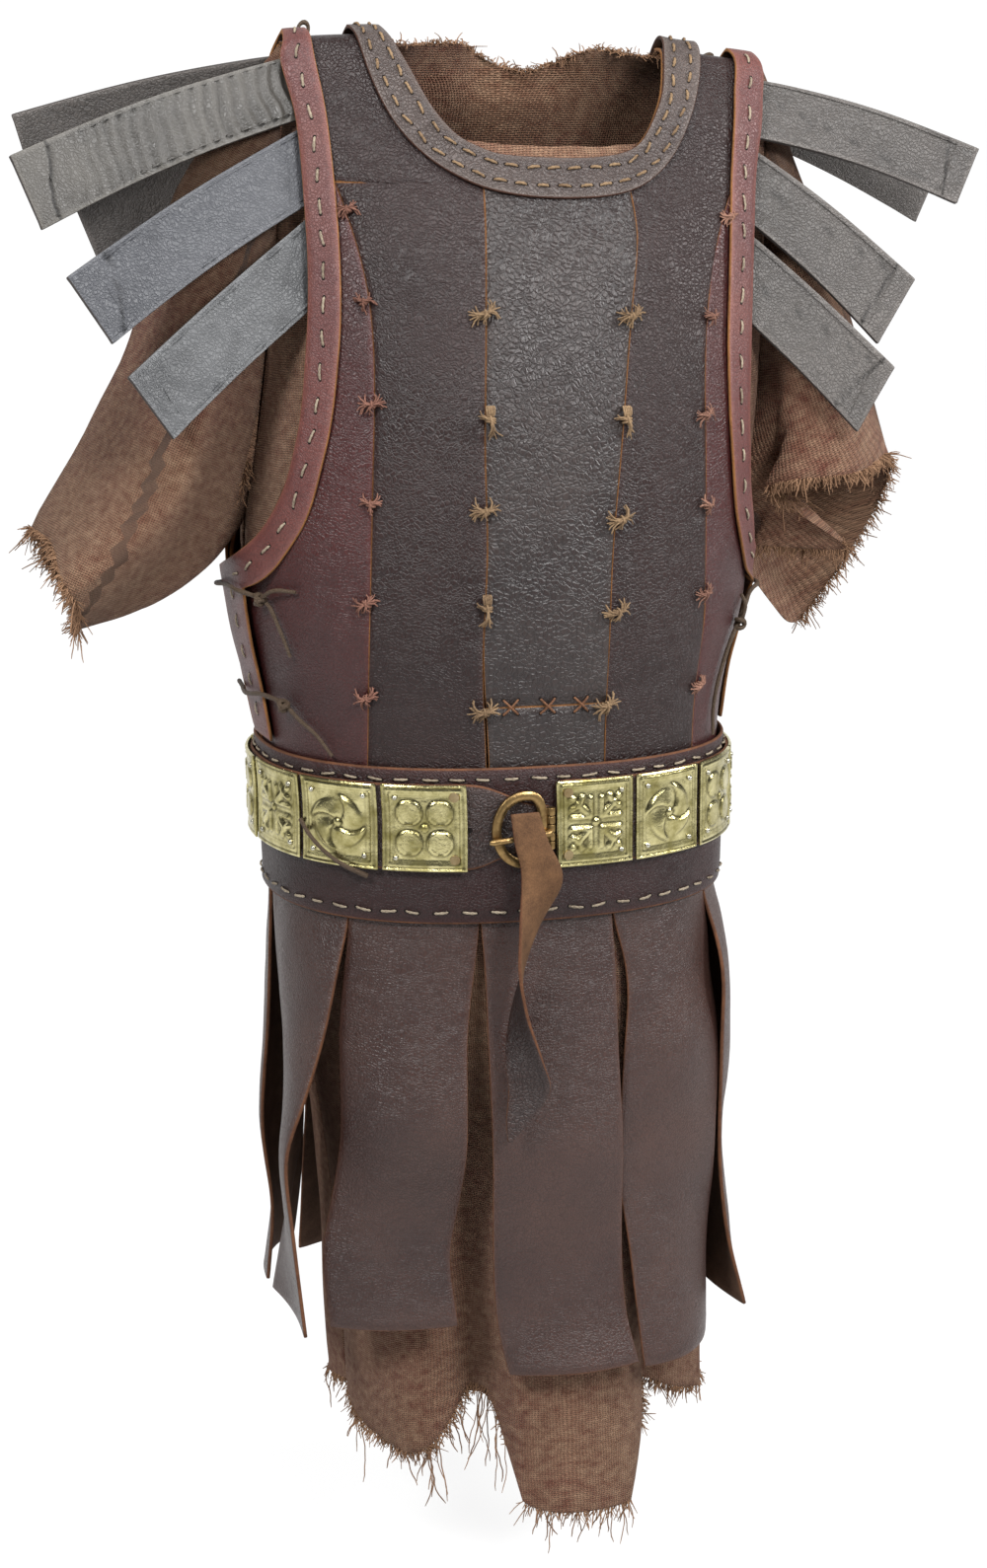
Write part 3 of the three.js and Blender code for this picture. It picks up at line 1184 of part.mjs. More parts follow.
function laces() {
  const under = ["panel_", "armhole_", "waistband", "belt_"];
  const out = layers.panel.outer + layerGap;
  const on = (turn, drop, lift) => {
    const place = clearPoint(turn, drop, out, under);
    const normal = bodyPoint(turn, drop, 30).sub(place).normalize();
    return place.addScaledVector(normal, lift).toArray();
  };
  const steps = 20;
  cord("lace_left_upper", [on(-1.14, 372, 2.4), on(-1.06, 370, 5.2), on(-0.97, 367, 3.8), on(-0.86, 366, 4.2), on(-0.76, 372, 2.7), on(-0.71, 388, 2.4), on(-0.68, 406, 2.9)], 1.7, steps);
  cord("lace_left_lower", [on(-1.14, 440, 4), on(-1.06, 440, 6.9), on(-0.96, 439, 6), on(-0.85, 436, 6.5), on(-0.745, 440, 5.3), on(-0.705, 450, 3.3), on(-0.64, 461, 3), on(-0.585, 474, 4.2)], 1.7, steps);
  cord("lace_right", [on(1.14, 376, 2.6), on(1.06, 374, 5.4), on(0.97, 371, 4.2), on(0.86, 370, 4.8), on(0.77, 374, 4.4), on(0.7, 386, 3.4), on(0.63, 408, 2.4), on(0.6, 436, 2.6), on(0.6, 456, 2.5), on(0.595, 474, 4.2)], 1.7, steps);
  cord("lace_left_end", [on(-0.7, 522, 4.6), on(-0.655, 532, 4.2), on(-0.6, 542, 4), on(-0.54, 549, 3.6), on(-0.475, 557, 5)], 1.7, 12);
}

function shoulderLoop(name, turn, depth, lift, tilt) {
  const base = wrapPoint(turn, depth, lift);
  const ring = new THREE.TorusGeometry(4.6, 1.5, 6, 12);
  ring.scale(0.8, 1.15, 1);
  ring.rotateX(Math.PI / 2);
  ring.rotateY(0.3);
  ring.rotateX(tilt);
  ring.computeBoundingBox();
  ring.translate(base.x, base.y, base.z - ring.boundingBox.min.z);
  const mesh = new THREE.Mesh(ring);
  mesh.name = name;
  group.add(mesh);
}

function build() {
  tunicFront("tunic_front", false);
  tunicFront("tunic_front_lower", true);
  tunicBack();
  sleeve("tunic_sleeve_left", -1, leftSleeve);
  sleeve("tunic_sleeve_right", 1, rightSleeve);
  panels();
  binding("neck_binding", neckBindingRows, 1, true, 38);
  binding("armhole_binding_left", leftArmholeRows, -1, false, 42);
  binding("armhole_binding_right", rightArmholeRows, 1, false, 42);
  waistbandBand();
  beltStrap();
  for (let i = 0; i < plateCount; i += 1) plateSolid(i);
  buckleParts();
  for (const piece of [...frontStrips, ...backStrips]) skirtStrip(piece);
  for (const piece of shoulderStrips) shoulderStrip(piece);
  strip("belt_tail", tailStations, { across: [0, 0.5, 1], down: tailCells }, 2.2);
  laces();
  shoulderLoop("shoulder_loop_left", -0.66, -2.2, layers.binding.outer + 0.4, 0);
  shoulderLoop("shoulder_loop_right", 0.555, -2.6, layers.panel.outer - 1.4, 0.9);
}

build();

export default group;
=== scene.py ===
import bisect
import math
import random

import bmesh
import bpy
from mathutils import Matrix, Vector, kdtree, noise
from mathutils.bvhtree import BVHTree


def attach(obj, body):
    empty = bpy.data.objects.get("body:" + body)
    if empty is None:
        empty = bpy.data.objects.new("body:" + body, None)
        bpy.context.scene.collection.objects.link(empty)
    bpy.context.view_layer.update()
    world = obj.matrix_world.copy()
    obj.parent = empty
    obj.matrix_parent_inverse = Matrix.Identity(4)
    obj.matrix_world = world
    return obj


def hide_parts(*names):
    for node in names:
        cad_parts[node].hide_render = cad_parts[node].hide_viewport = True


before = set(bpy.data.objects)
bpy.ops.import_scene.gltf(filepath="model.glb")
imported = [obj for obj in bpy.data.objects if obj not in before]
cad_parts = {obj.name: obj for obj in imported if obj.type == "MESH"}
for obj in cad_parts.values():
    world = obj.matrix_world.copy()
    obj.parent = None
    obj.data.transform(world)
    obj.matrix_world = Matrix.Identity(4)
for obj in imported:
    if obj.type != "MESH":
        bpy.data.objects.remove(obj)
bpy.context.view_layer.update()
random.seed(7)
mm = 0.001


def putIn(name, data):
    # A new object in the scene
    thing = bpy.data.objects.new(name, data)
    bpy.context.scene.collection.objects.link(thing)
    return thing


def meshFrom(bm, name):
    mesh = bpy.data.meshes.new(name)
    bm.to_mesh(mesh)
    bm.free()
    return mesh


# The camera stands a little to the left of the garment, level with its shoulders
cameraView = {"place": (-0.618, -1.902, -0.020), "target": (-0.0219, 0.0071, -0.529), "lens": 64.1,
              "sensor": 36}
camera = putIn("camera", bpy.data.cameras.new("camera"))
camera.location = cameraView["place"]
camera.rotation_euler = (Vector(cameraView["target"]) - camera.location).to_track_quat("-Z", "Y").to_euler()
camera.data.lens = cameraView["lens"]
camera.data.sensor_width = cameraView["sensor"]
bpy.context.scene.camera = camera
print("camera set")

# The wearer's outline in millimetres: turn 0 is the front middle, 1 the +X side, drop is below the shoulders
outline = {
    "power": 2.3, "ridge": -3, "roll": 0.045, "rollEnds": 900, "tipDrop": 8,
    "rings": [  # drop, half width, front, back, lean
        (0, 175, 0, 0, 0), (5, 175, 14, 14, 0), (15, 176, 25, 27, -1), (40, 178, 43, 49, -2),
        (80, 180, 61, 77, -5), (120, 181, 81, 95, -8), (180, 182, 103, 111, -12),
        (250, 183, 117, 117, -18), (320, 181, 123, 115, -24), (380, 177, 124, 109, -28),
        (420, 169, 122, 105, -29), (460, 160, 120, 103, -28), (520, 157, 119, 107, -26),
        (600, 158, 120, 112, -26), (700, 147, 113, 108, -20), (850, 139, 109, 106, -10),
        (1100, 136, 108, 106, -2),
    ],
}


def smoothLine(keys, values):
    # A smooth line through the values that never overshoots them
    rise = [(b - a) / (q - p) for a, b, p, q in zip(values, values[1:], keys, keys[1:])]
    slope = [rise[0]] + [0 if a * b <= 0 else 2 * a * b / (a + b)
                         for a, b in zip(rise, rise[1:])] + [rise[-1]]

    def at(x):
        if x <= keys[0]:
            return values[0]
        if x >= keys[-1]:
            return values[-1]
        i = min(bisect.bisect_right(keys, x) - 1, len(keys) - 2)
        step = keys[i + 1] - keys[i]
        t = (x - keys[i]) / step
        u = 1 - t
        return (values[i] * (1 + 2 * t) * u * u + values[i + 1] * (3 - 2 * t) * t * t
                + step * slope[i] * t * u * u - step * slope[i + 1] * u * t * t)

    return at


ringKeys = [math.sqrt(ring[0]) for ring in outline["rings"]]
ringLines = [smoothLine(ringKeys, [ring[i] for ring in outline["rings"]]) for i in (1, 2, 3, 4)]


def ringAt(depth):
    return [line(depth) for line in ringLines]


def outlinePoint(turn, depth):
    # depth is the root of the drop, which spaces places evenly over the round shoulder
    halfWidth, front, back, lean = ringAt(depth)
    angle = turn * math.pi / 2
    bend = lambda value: math.copysign(abs(value) ** (2 / outline["power"]), value)
    across = halfWidth * bend(math.sin(angle))
    deep = (front if math.cos(angle) > 0 else back) * bend(math.cos(angle))
    drop = depth * depth
    roll = outline["roll"] * max(0, 1 - drop / outline["rollEnds"])
    tip = outline["tipDrop"] * (across / 180) ** 2 * math.exp(-drop / 60)
    return Vector((lean + across, -deep, outline["ridge"] - drop - roll * across - tip))


def outwardAt(turn, drop):
    depth = math.sqrt(max(drop, 0.02))
    along = outlinePoint(turn + 0.002, depth) - outlinePoint(turn - 0.002, depth)
    down = outlinePoint(turn, depth + 0.01) - outlinePoint(turn, max(depth - 0.01, 0.05))
    normal = along.cross(down).normalized()
    middle = Vector((ringAt(depth)[3], 0, outline["ridge"] - drop - 30))
    return normal if normal.dot(outlinePoint(turn, depth) - middle) > 0 else -normal


def bodyPoint(turn, drop, out):
    # A place over the outline, in metres; out is in millimetres
    return (outlinePoint(turn, math.sqrt(max(drop, 0.02))) + outwardAt(turn, drop) * out) * mm


def turnOf(place):
    # The turn round the outline of a place beside it
    halfWidth, front, back, lean = ringAt(math.sqrt(max(1, -place.z / mm - 3)))
    bend = lambda value: math.copysign(abs(value) ** (outline["power"] / 2), value)
    across = bend((place.x / mm - lean) / halfWidth)
    deep = bend(-place.y / mm / max(front if place.y < 0 else back, 30))
    return math.atan2(across, deep) / (math.pi / 2)


def tone(hexCode):
    # A colour as an artist writes it, made linear
    parts = [int(hexCode[i:i + 2], 16) / 255 for i in (0, 2, 4)]
    return tuple(p / 12.92 if p <= 0.04045 else ((p + 0.055) / 1.055) ** 2.4 for p in parts) + (1,)


class Nodes:
    # A short hand for one node tree: it adds nodes and joins them

    def __init__(self, tree):
        self.tree = tree

    def add(self, kind, inputs=(), **settings):
        node = self.tree.nodes.new(kind)
        for key, value in settings.items():
            setattr(node, key, value)
        for socket, value in dict(inputs).items():
            self.put(node.inputs[socket], value)
        return node

    def put(self, socket, value):
        if isinstance(value, bpy.types.NodeSocket):
            self.tree.links.new(value, socket)
        else:
            socket.default_value = value

    def maths(self, operation, first, second=0.0):
        node = self.add("ShaderNodeMath", operation=operation)
        self.put(node.inputs[0], first)
        self.put(node.inputs[1], second)
        return node.outputs[0]

    def blend(self, share, first, second):
        node = self.add("ShaderNodeMix", data_type="RGBA")
        self.put(node.inputs[0], share)
        self.put(node.inputs[6], first)
        self.put(node.inputs[7], second)
        return node.outputs[2]

    def span(self, value, low, high, toLow=0.0, toHigh=1.0):
        node = self.add("ShaderNodeMapRange", {0: value, 1: low, 2: high, 3: toLow, 4: toHigh})
        return node.outputs[0]


def shaderGroup(name, inputs, outputs):
    tree = bpy.data.node_groups.new(name, "ShaderNodeTree")
    for label, kind, value in inputs:
        socket = tree.interface.new_socket(label, in_out="INPUT", socket_type=kind)
        if value is not None:
            socket.default_value = value
    for label, kind in outputs:
        tree.interface.new_socket(label, in_out="OUTPUT", socket_type=kind)
    nodes = Nodes(tree)
    return tree, nodes, nodes.add("NodeGroupInput").outputs, nodes.add("NodeGroupOutput").inputs


def grainGroup():
    # Pebbled hide: cells parted by fine creases, broader wrinkles, and a mask of worn places
    tree, n, given, out = shaderGroup(
        "hide grain",
        [("Vector", "NodeSocketVector", None), ("Pebble", "NodeSocketFloat", 380.0),
         ("Wrinkle", "NodeSocketFloat", 45.0),
         ("Wrinkle depth", "NodeSocketFloat", 0.8)],
        [("Height", "NodeSocketFloat"), ("Patches", "NodeSocketFloat"), ("Creases", "NodeSocketFloat"),
         ("Shade", "NodeSocketFloat")])
    warp = n.add("ShaderNodeTexNoise", {"Vector": given["Vector"], "Scale": 60.0, "Detail": 2.0})
    moved = n.add("ShaderNodeMix", {0: 0.012}, data_type="VECTOR")
    n.put(moved.inputs[4], given["Vector"])
    n.put(moved.inputs[5], warp.outputs["Color"])
    cells = n.add("ShaderNodeTexVoronoi", {"Vector": moved.outputs[1], "Scale": given["Pebble"]},
                  feature="DISTANCE_TO_EDGE")
    crease = n.span(cells.outputs["Distance"], 0.0, 0.2)
    small = n.add("ShaderNodeTexVoronoi",
                  {"Vector": moved.outputs[1], "Scale": n.maths("MULTIPLY", given["Pebble"], 0.55)},
                  feature="SMOOTH_F1")
    fine = n.add("ShaderNodeTexNoise", {"Vector": given["Vector"], "Scale": 1500.0, "Detail": 2.0})
    wrinkle = n.add("ShaderNodeTexNoise",
                    {"Vector": given["Vector"], "Scale": given["Wrinkle"], "Detail": 4.0,
                     "Roughness": 0.55})
    height = n.maths("MULTIPLY", crease, 0.5)
    height = n.maths("SUBTRACT", height, n.maths("MULTIPLY", small.outputs["Distance"], 0.4))
    height = n.maths("ADD", height, n.maths("MULTIPLY", fine.outputs["Fac"], 0.2))
    height = n.maths("ADD", height, n.maths("MULTIPLY", wrinkle.outputs["Fac"], given["Wrinkle depth"]))
    patches = n.add("ShaderNodeTexNoise",
                    {"Vector": given["Vector"], "Scale": 11.0, "Detail": 6.0, "Roughness": 0.62})
    shade = n.add("ShaderNodeTexNoise", {"Vector": given["Vector"], "Scale": 3.6, "Detail": 3.0})
    n.put(out["Height"], height)
    n.put(out["Patches"], n.span(patches.outputs["Fac"], 0.34, 0.68))
    n.put(out["Creases"], n.maths("SUBTRACT", 1.0, crease))
    n.put(out["Shade"], n.span(shade.outputs["Fac"], 0.35, 0.65))
    return tree


def weaveGroup():
    # Plain weave on a UV map in metres: threads go over and under each other
    tree, n, given, out = shaderGroup(
        "coarse weave",
        [("Vector", "NodeSocketVector", None), ("Threads", "NodeSocketFloat", 640.0),
         ("Wander", "NodeSocketFloat", 0.0022)],
        [("Height", "NodeSocketFloat"), ("Slubs", "NodeSocketFloat"), ("Gaps", "NodeSocketFloat")])
    drift = n.add("ShaderNodeTexNoise", {"Vector": given["Vector"], "Scale": 90.0, "Detail": 3.0})
    shift = n.add("ShaderNodeVectorMath", {0: drift.outputs["Color"]}, operation="SCALE")
    n.put(shift.inputs["Scale"], given["Wander"])
    place = n.add("ShaderNodeVectorMath", {0: given["Vector"], 1: shift.outputs[0]}, operation="ADD")
    parts = n.add("ShaderNodeSeparateXYZ", {0: place.outputs[0]})
    turn = n.maths("MULTIPLY", given["Threads"], math.pi)
    warp = n.maths("SINE", n.maths("MULTIPLY", parts.outputs[0], turn))
    weft = n.maths("SINE", n.maths("MULTIPLY", parts.outputs[1], turn))
    over = n.maths("MULTIPLY", n.maths("MULTIPLY", warp, weft), 0.42)
    upper = n.maths("MULTIPLY", n.maths("ABSOLUTE", warp), n.maths("ADD", 0.58, over))
    lower = n.maths("MULTIPLY", n.maths("ABSOLUTE", weft), n.maths("SUBTRACT", 0.58, over))
    height = n.maths("MAXIMUM", upper, lower)
    fibre = n.add("ShaderNodeTexNoise", {"Vector": given["Vector"], "Scale": 1400.0, "Detail": 3.0})
    slub = n.add("ShaderNodeTexNoise",
                 {"Vector": given["Vector"], "Scale": 150.0, "Detail": 4.0, "Roughness": 0.7})
    n.put(out["Height"], n.maths("ADD", height, n.maths("MULTIPLY", fibre.outputs["Fac"], 0.35)))
    n.put(out["Slubs"], n.span(slub.outputs["Fac"], 0.34, 0.68))
    n.put(out["Gaps"], n.span(height, 0.1, 0.5, 1.0, 0.0))
    return tree


def wearGroup():
    # Rubbed edges from the distance to a piece's own cut edge
    tree, n, given, out = shaderGroup(
        "edge wear",
        [("Vector", "NodeSocketVector", None), ("Width", "NodeSocketFloat", 0.004)],
        [("Rubbed", "NodeSocketFloat"), ("Lip", "NodeSocketFloat")])
    edge = n.add("ShaderNodeAttribute", attribute_name="edgeDistance")
    ragged = n.add("ShaderNodeTexNoise", {"Vector": given["Vector"], "Scale": 120.0, "Detail": 3.0})
    reach = n.maths("MULTIPLY", given["Width"], n.maths("MULTIPLY", ragged.outputs["Fac"], 1.8))
    share = n.maths("DIVIDE", edge.outputs["Fac"], n.maths("MAXIMUM", reach, 0.0001))
    n.put(out["Rubbed"], n.span(share, 0.0, 1.0, 1.0, 0.0))
    n.put(out["Lip"], n.span(edge.outputs["Fac"], 0.0, 0.003))
    return tree


grain = grainGroup()
weave = weaveGroup()
wear = wearGroup()


def newMaterial(name):
    material = bpy.data.materials.new(name)
    material.use_nodes = True
    nodes = Nodes(material.node_tree)
    surface = next(node for node in material.node_tree.nodes if node.type == "BSDF_PRINCIPLED")
    return material, nodes, surface


def useGroup(nodes, tree, **inputs):
    node = nodes.add("ShaderNodeGroup", node_tree=tree)
    for key, value in inputs.items():
        nodes.put(node.inputs[key.replace("_", " ")], value)
    return node.outputs


# Colours as an artist writes them. Pebble and wrinkle are marks to the metre, fold is how deep the wrinkles
# go, creased how dark the fine creases are, and gloss how strongly the hide mirrors
leathers = {
    "brownLeather": {"base": "20100e", "deep": "0b0404", "worn": "301c1a", "second": "1a0a09",
                     "rough": 0.35, "pebble": 400, "wrinkle": 60, "bump": 0.42, "fold": 1.1, "gloss": 0.4},
    "darkLeather": {"base": "241a19", "deep": "0c0808", "worn": "3a2f2b", "second": "1d1414",
                    "rough": 0.32, "pebble": 290, "wrinkle": 75, "bump": 0.42, "fold": 1.6},
    "neckLeather": {"base": "443935", "deep": "1f1715", "worn": "635751", "second": "382d2a",
                    "rough": 0.40, "pebble": 420, "wrinkle": 75, "bump": 0.5, "fold": 1.1},
    "burgundyLeather": {"base": "370f0f", "deep": "170505", "worn": "4e1f1c", "second": "2b0d0d",
                        "rough": 0.34, "pebble": 460, "wrinkle": 30, "bump": 0.35, "fold": 0.8},
    "rimLeather": {"base": "572c2b", "deep": "2d1514", "worn": "7a4a40", "second": "4b2525",
                   "rough": 0.42, "pebble": 520, "wrinkle": 34, "bump": 0.3, "fold": 0.6},
    "waistLeather": {"base": "250a09", "deep": "0e0403", "worn": "361512", "second": "1a0606",
                     "rough": 0.40, "pebble": 460, "wrinkle": 30, "bump": 0.40, "fold": 0.9, "gloss": 0.4},
    "strapLeather": {"base": "271714", "deep": "120908", "worn": "3c2721", "second": "211412",
                     "rough": 0.42, "pebble": 380, "wrinkle": 60, "bump": 0.6, "fold": 1.2},
    "skirtLeather": {"base": "351e19", "deep": "190d08", "worn": "4e342b", "second": "2a1613",
                     "rough": 0.34, "pebble": 470, "wrinkle": 24, "bump": 0.38, "fold": 1.0},
    "pewterLeather": {"base": "4b4743", "deep": "22201e", "worn": "6b6561", "second": "403c3a",
                      "rough": 0.42, "pebble": 430, "wrinkle": 70, "bump": 0.45, "fold": 1.3},
    "steelLeather": {"base": "38393f", "deep": "1a1b1f", "worn": "5c5d61", "second": "2e3035",
                     "rough": 0.34, "pebble": 420, "wrinkle": 90, "bump": 0.32, "creased": 0.12,
                     "fold": 1.5},
    "paleLeather": {"base": "424345", "deep": "1f1f20", "worn": "68696b", "second": "38393a",
                    "rough": 0.35, "pebble": 420, "wrinkle": 60, "bump": 0.34, "creased": 0.12,
                    "fold": 1.5},
    "ridgedLeather": {"base": "3a3734", "deep": "161412", "worn": "68645e", "second": "2f2d2a",
                      "rough": 0.34, "pebble": 420, "wrinkle": 60, "bump": 0.20, "creased": 0.12,
                      "fold": 0.8},
    "purpleLeather": {"base": "3e3135", "deep": "201719", "worn": "5d4f53", "second": "34272b",
                      "rough": 0.42, "pebble": 430, "wrinkle": 60, "bump": 0.5, "fold": 0.9},
    "greenGreyLeather": {"base": "464944", "deep": "232521", "worn": "676c64", "second": "3a3e39",
                         "rough": 0.42, "pebble": 430, "wrinkle": 60, "bump": 0.5, "fold": 0.9},
}


def leatherMaterial(name, look):
    # Grained hide, dark in its creases and pressed marks and with painted shade in the troughs of ridged
    # strips, worn light in patches and along its edges
    material, n, surface = newMaterial(name)
    place = n.add("ShaderNodeTexCoord").outputs["Object"]
    hide = useGroup(n, grain, Vector=place, Pebble=float(look["pebble"]), Wrinkle=float(look["wrinkle"]),
                    Wrinkle_depth=float(look.get("fold", 0.7)))
    rubbed = useGroup(n, wear, Vector=place)
    pressedAndTroughShade = n.add("ShaderNodeAttribute", attribute_name="hollow").outputs["Fac"]
    colour = n.blend(hide["Shade"], tone(look["base"]), tone(look.get("second", look["base"])))
    colour = n.blend(n.maths("MULTIPLY", hide["Patches"], 0.5), colour, tone(look["worn"]))
    colour = n.blend(n.maths("MULTIPLY", hide["Creases"], look.get("creased", 0.5)), colour,
                     tone(look["deep"]))
    colour = n.blend(n.maths("MULTIPLY", rubbed["Rubbed"], 0.55), colour, tone(look["worn"]))
    # Pressed marks, and the painted shade of ridge troughs, darken the colour toward the deep one
    colour = n.blend(n.maths("MULTIPLY", pressedAndTroughShade, 0.85), colour, tone(look["deep"]))
    n.put(surface.inputs["Base Color"], colour)
    rough = n.maths("ADD", look["rough"], n.maths("MULTIPLY", hide["Patches"], 0.12))
    rough = n.maths("ADD", rough, n.maths("MULTIPLY", pressedAndTroughShade, 0.15))
    n.put(surface.inputs["Roughness"], n.maths("ADD", rough, n.maths("MULTIPLY", hide["Creases"], 0.12)))
    surface.inputs["Specular IOR Level"].default_value = look.get("gloss", 0.5)
    bump = n.add("ShaderNodeBump", {"Height": hide["Height"], "Strength": look["bump"], "Distance": 0.0024})
    soft = n.add("ShaderNodeBump",
                 {"Height": rubbed["Lip"], "Strength": 0.35, "Distance": 0.0006, "Normal": bump.outputs[0]})
    n.put(surface.inputs["Normal"], soft.outputs[0])
    return material


def suedeMaterial(name, light, dark, rough):
    # A cut edge or the flesh side: matt, fibrous
    material, n, surface = newMaterial(name)
    place = n.add("ShaderNodeTexCoord").outputs["Object"]
    broad = n.add("ShaderNodeTexNoise", {"Vector": place, "Scale": 70.0, "Detail": 5.0, "Roughness": 0.65})
    fine = n.add("ShaderNodeTexNoise", {"Vector": place, "Scale": 900.0, "Detail": 3.0})
    share = n.maths("ADD", n.span(broad.outputs["Fac"], 0.3, 0.7, 0.0, 0.6),
                    n.span(fine.outputs["Fac"], 0.3, 0.7, 0.0, 0.4))
    n.put(surface.inputs["Base Color"], n.blend(share, tone(dark), tone(light)))
    surface.inputs["Roughness"].default_value = rough
    surface.inputs["Specular IOR Level"].default_value = 0.2
    bump = n.add("ShaderNodeBump", {"Height": fine.outputs["Fac"], "Strength": 0.6, "Distance": 0.0006})
    n.put(surface.inputs["Normal"], bump.outputs[0])
    return material


def clothMaterial(name, look):
    # Coarse woven cloth, stained in broad clouds
    material, n, surface = newMaterial(name)
    along = n.add("ShaderNodeUVMap", uv_map="cloth").outputs[0]
    place = n.add("ShaderNodeTexCoord").outputs["Object"]
    cloth = useGroup(n, weave, Vector=along)
    broad = n.add("ShaderNodeTexNoise", {"Vector": place, "Scale": 7.0, "Detail": 4.0, "Roughness": 0.6})
    stain = n.span(broad.outputs["Fac"], 0.38, 0.66)
    colour = n.blend(stain, tone(look["base"]), tone(look["red"]))
    colour = n.blend(n.maths("MULTIPLY", cloth["Slubs"], 0.6), colour, tone(look["light"]))
    colour = n.blend(n.maths("MULTIPLY", cloth["Gaps"], 0.9), colour, tone(look["deep"]))
    n.put(surface.inputs["Base Color"], colour)
    surface.inputs["Roughness"].default_value = 0.95
    surface.inputs["Specular IOR Level"].default_value = 0.12
    surface.inputs["Sheen Weight"].default_value = 0.06
    bump = n.add("ShaderNodeBump", {"Height": cloth["Height"], "Strength": 1.0, "Distance": 0.0014})
    n.put(surface.inputs["Normal"], bump.outputs[0])
    return material


def brassMaterial(name, look):
    # Cast or struck metal, tarnished in clouds and dark where it is hollow
    material, n, surface = newMaterial(name)
    place = n.add("ShaderNodeTexCoord").outputs["Object"]
    tarnish = n.add("ShaderNodeTexNoise", {"Vector": place, "Scale": 60.0, "Detail": 6.0, "Roughness": 0.7})
    spots = n.add("ShaderNodeTexNoise", {"Vector": place, "Scale": 380.0, "Detail": 3.0})
    share = n.span(tarnish.outputs["Fac"], 0.36, 0.66)
    colour = n.blend(share, tone(look["bright"]), tone(look["dull"]))
    hollow = n.add("ShaderNodeAttribute", attribute_name="hollow").outputs["Fac"]
    colour = n.blend(n.maths("MULTIPLY", hollow, 0.8), colour, tone(look["grime"]))
    n.put(surface.inputs["Base Color"], colour)
    surface.inputs["Metallic"].default_value = 1.0
    n.put(surface.inputs["Roughness"], n.maths("ADD", look["rough"], n.maths("MULTIPLY", share, 0.16)))
    bump = n.add("ShaderNodeBump", {"Height": spots.outputs["Fac"], "Strength": 0.15, "Distance": 0.0006})
    wavy = n.add("ShaderNodeBump",
                 {"Height": tarnish.outputs["Fac"], "Strength": 0.5, "Distance": 0.0014,
                  "Normal": bump.outputs[0]})
    n.put(surface.inputs["Normal"], wavy.outputs[0])
    return material


def threadMaterial(name, light, dark):
    # Waxed thread: matt and fibrous
    material, n, surface = newMaterial(name)
    place = n.add("ShaderNodeTexCoord").outputs["Object"]
    fibre = n.add("ShaderNodeTexNoise", {"Vector": place, "Scale": 700.0, "Detail": 3.0})
    broad = n.add("ShaderNodeTexNoise", {"Vector": place, "Scale": 45.0, "Detail": 2.0})
    share = n.maths("ADD", n.span(fibre.outputs["Fac"], 0.35, 0.65, 0.0, 0.5),
                    n.span(broad.outputs["Fac"], 0.35, 0.65, 0.0, 0.5))
    n.put(surface.inputs["Base Color"], n.blend(share, tone(dark), tone(light)))
    surface.inputs["Roughness"].default_value = 0.9
    surface.inputs["Specular IOR Level"].default_value = 0.2
    bump = n.add("ShaderNodeBump", {"Height": fibre.outputs["Fac"], "Strength": 0.6, "Distance": 0.0004})
    n.put(surface.inputs["Normal"], bump.outputs[0])
    return material


finish = {name: leatherMaterial(name, look) for name, look in leathers.items()}
# Cut edges and flesh sides: light and dark colour, roughness
suedes = {
    "rawEdge": ("8f6238", "543720", 0.85), "rustEdge": ("6d4730", "3b251a", 0.75),
    "darkEdge": ("4b3126", "2c1a14", 0.7),
    "greyEdge": ("4a4542", "292423", 0.7), "suede": ("6f5036", "3f2b1d", 0.85),
    "fleshSide": ("5f493b", "3e2d23", 0.85),
    # The last one is painted shade for the stitch and strap holes
    "holeShade": ("140d0b", "080504", 0.85),
}
metals = {
    "brass": {"bright": "d4cb98", "dull": "8e8550", "grime": "2c2612", "rough": 0.19},
    "bronze": {"bright": "a98c5e", "dull": "6c5434", "grime": "33240f", "rough": 0.3},
    "copper": {"bright": "b3a07c", "dull": "85714f", "grime": "33240f", "rough": 0.34},
    "steel": {"bright": "c9c6b6", "dull": "94907f", "grime": "33302a", "rough": 0.2},
}
# Threads: light and dark colour
threads = {
    "tanThread": ("8f775b", "5a4736"), "redThread": ("8a6355", "51352c"),
    "pinkThread": ("94705f", "5a3d34"),
    "greyThread": ("a39683", "63584b"), "brownThread": ("7d583f", "462e22"),
    "frayThread": ("96755b", "5e4432"),
}
clothLook = {"base": "70503e", "red": "673d32", "light": "a5886f", "deep": "22140f"}
thongLook = {"base": "33261f", "deep": "1a120f", "worn": "50402f", "rough": 0.55, "gloss": 0.35,
             "pebble": 600,
             "wrinkle": 80, "bump": 0.5}
for name, (light, dark, rough) in suedes.items():
    finish[name] = suedeMaterial(name, light, dark, rough)
finish["cloth"] = clothMaterial("cloth", clothLook)
for name, look in metals.items():
    finish[name] = brassMaterial(name, look)
for name, (light, dark) in threads.items():
    finish[name] = threadMaterial(name, light, dark)
finish["thong"] = leatherMaterial("thong", thongLook)
print("materials made")


# How the walls of a solid are told apart: the garment's axis, the angle of a cut edge, the width of a rim
walls = {"axis": -0.015, "lowest": -1.2, "highest": -0.14, "below": 0.03, "sharp": 0.8, "narrow": 0.0045}
# How crisp the subdivided pieces stay along cut edges, at folds and at corners
holds = {"edge": 0.94, "fold": 0.75, "corner": 0.9, "straight": 0.75}
outside, inside, cutEdge = 0, 1, 2


def outwardScore(place, normal):
    # Positive where a face looks away from the garment's axis
    height = min(max(place.z - walls["below"], walls["lowest"]), walls["highest"])
    middle = Vector((walls["axis"], 0, height))
    return normal.dot((place - middle).normalized())


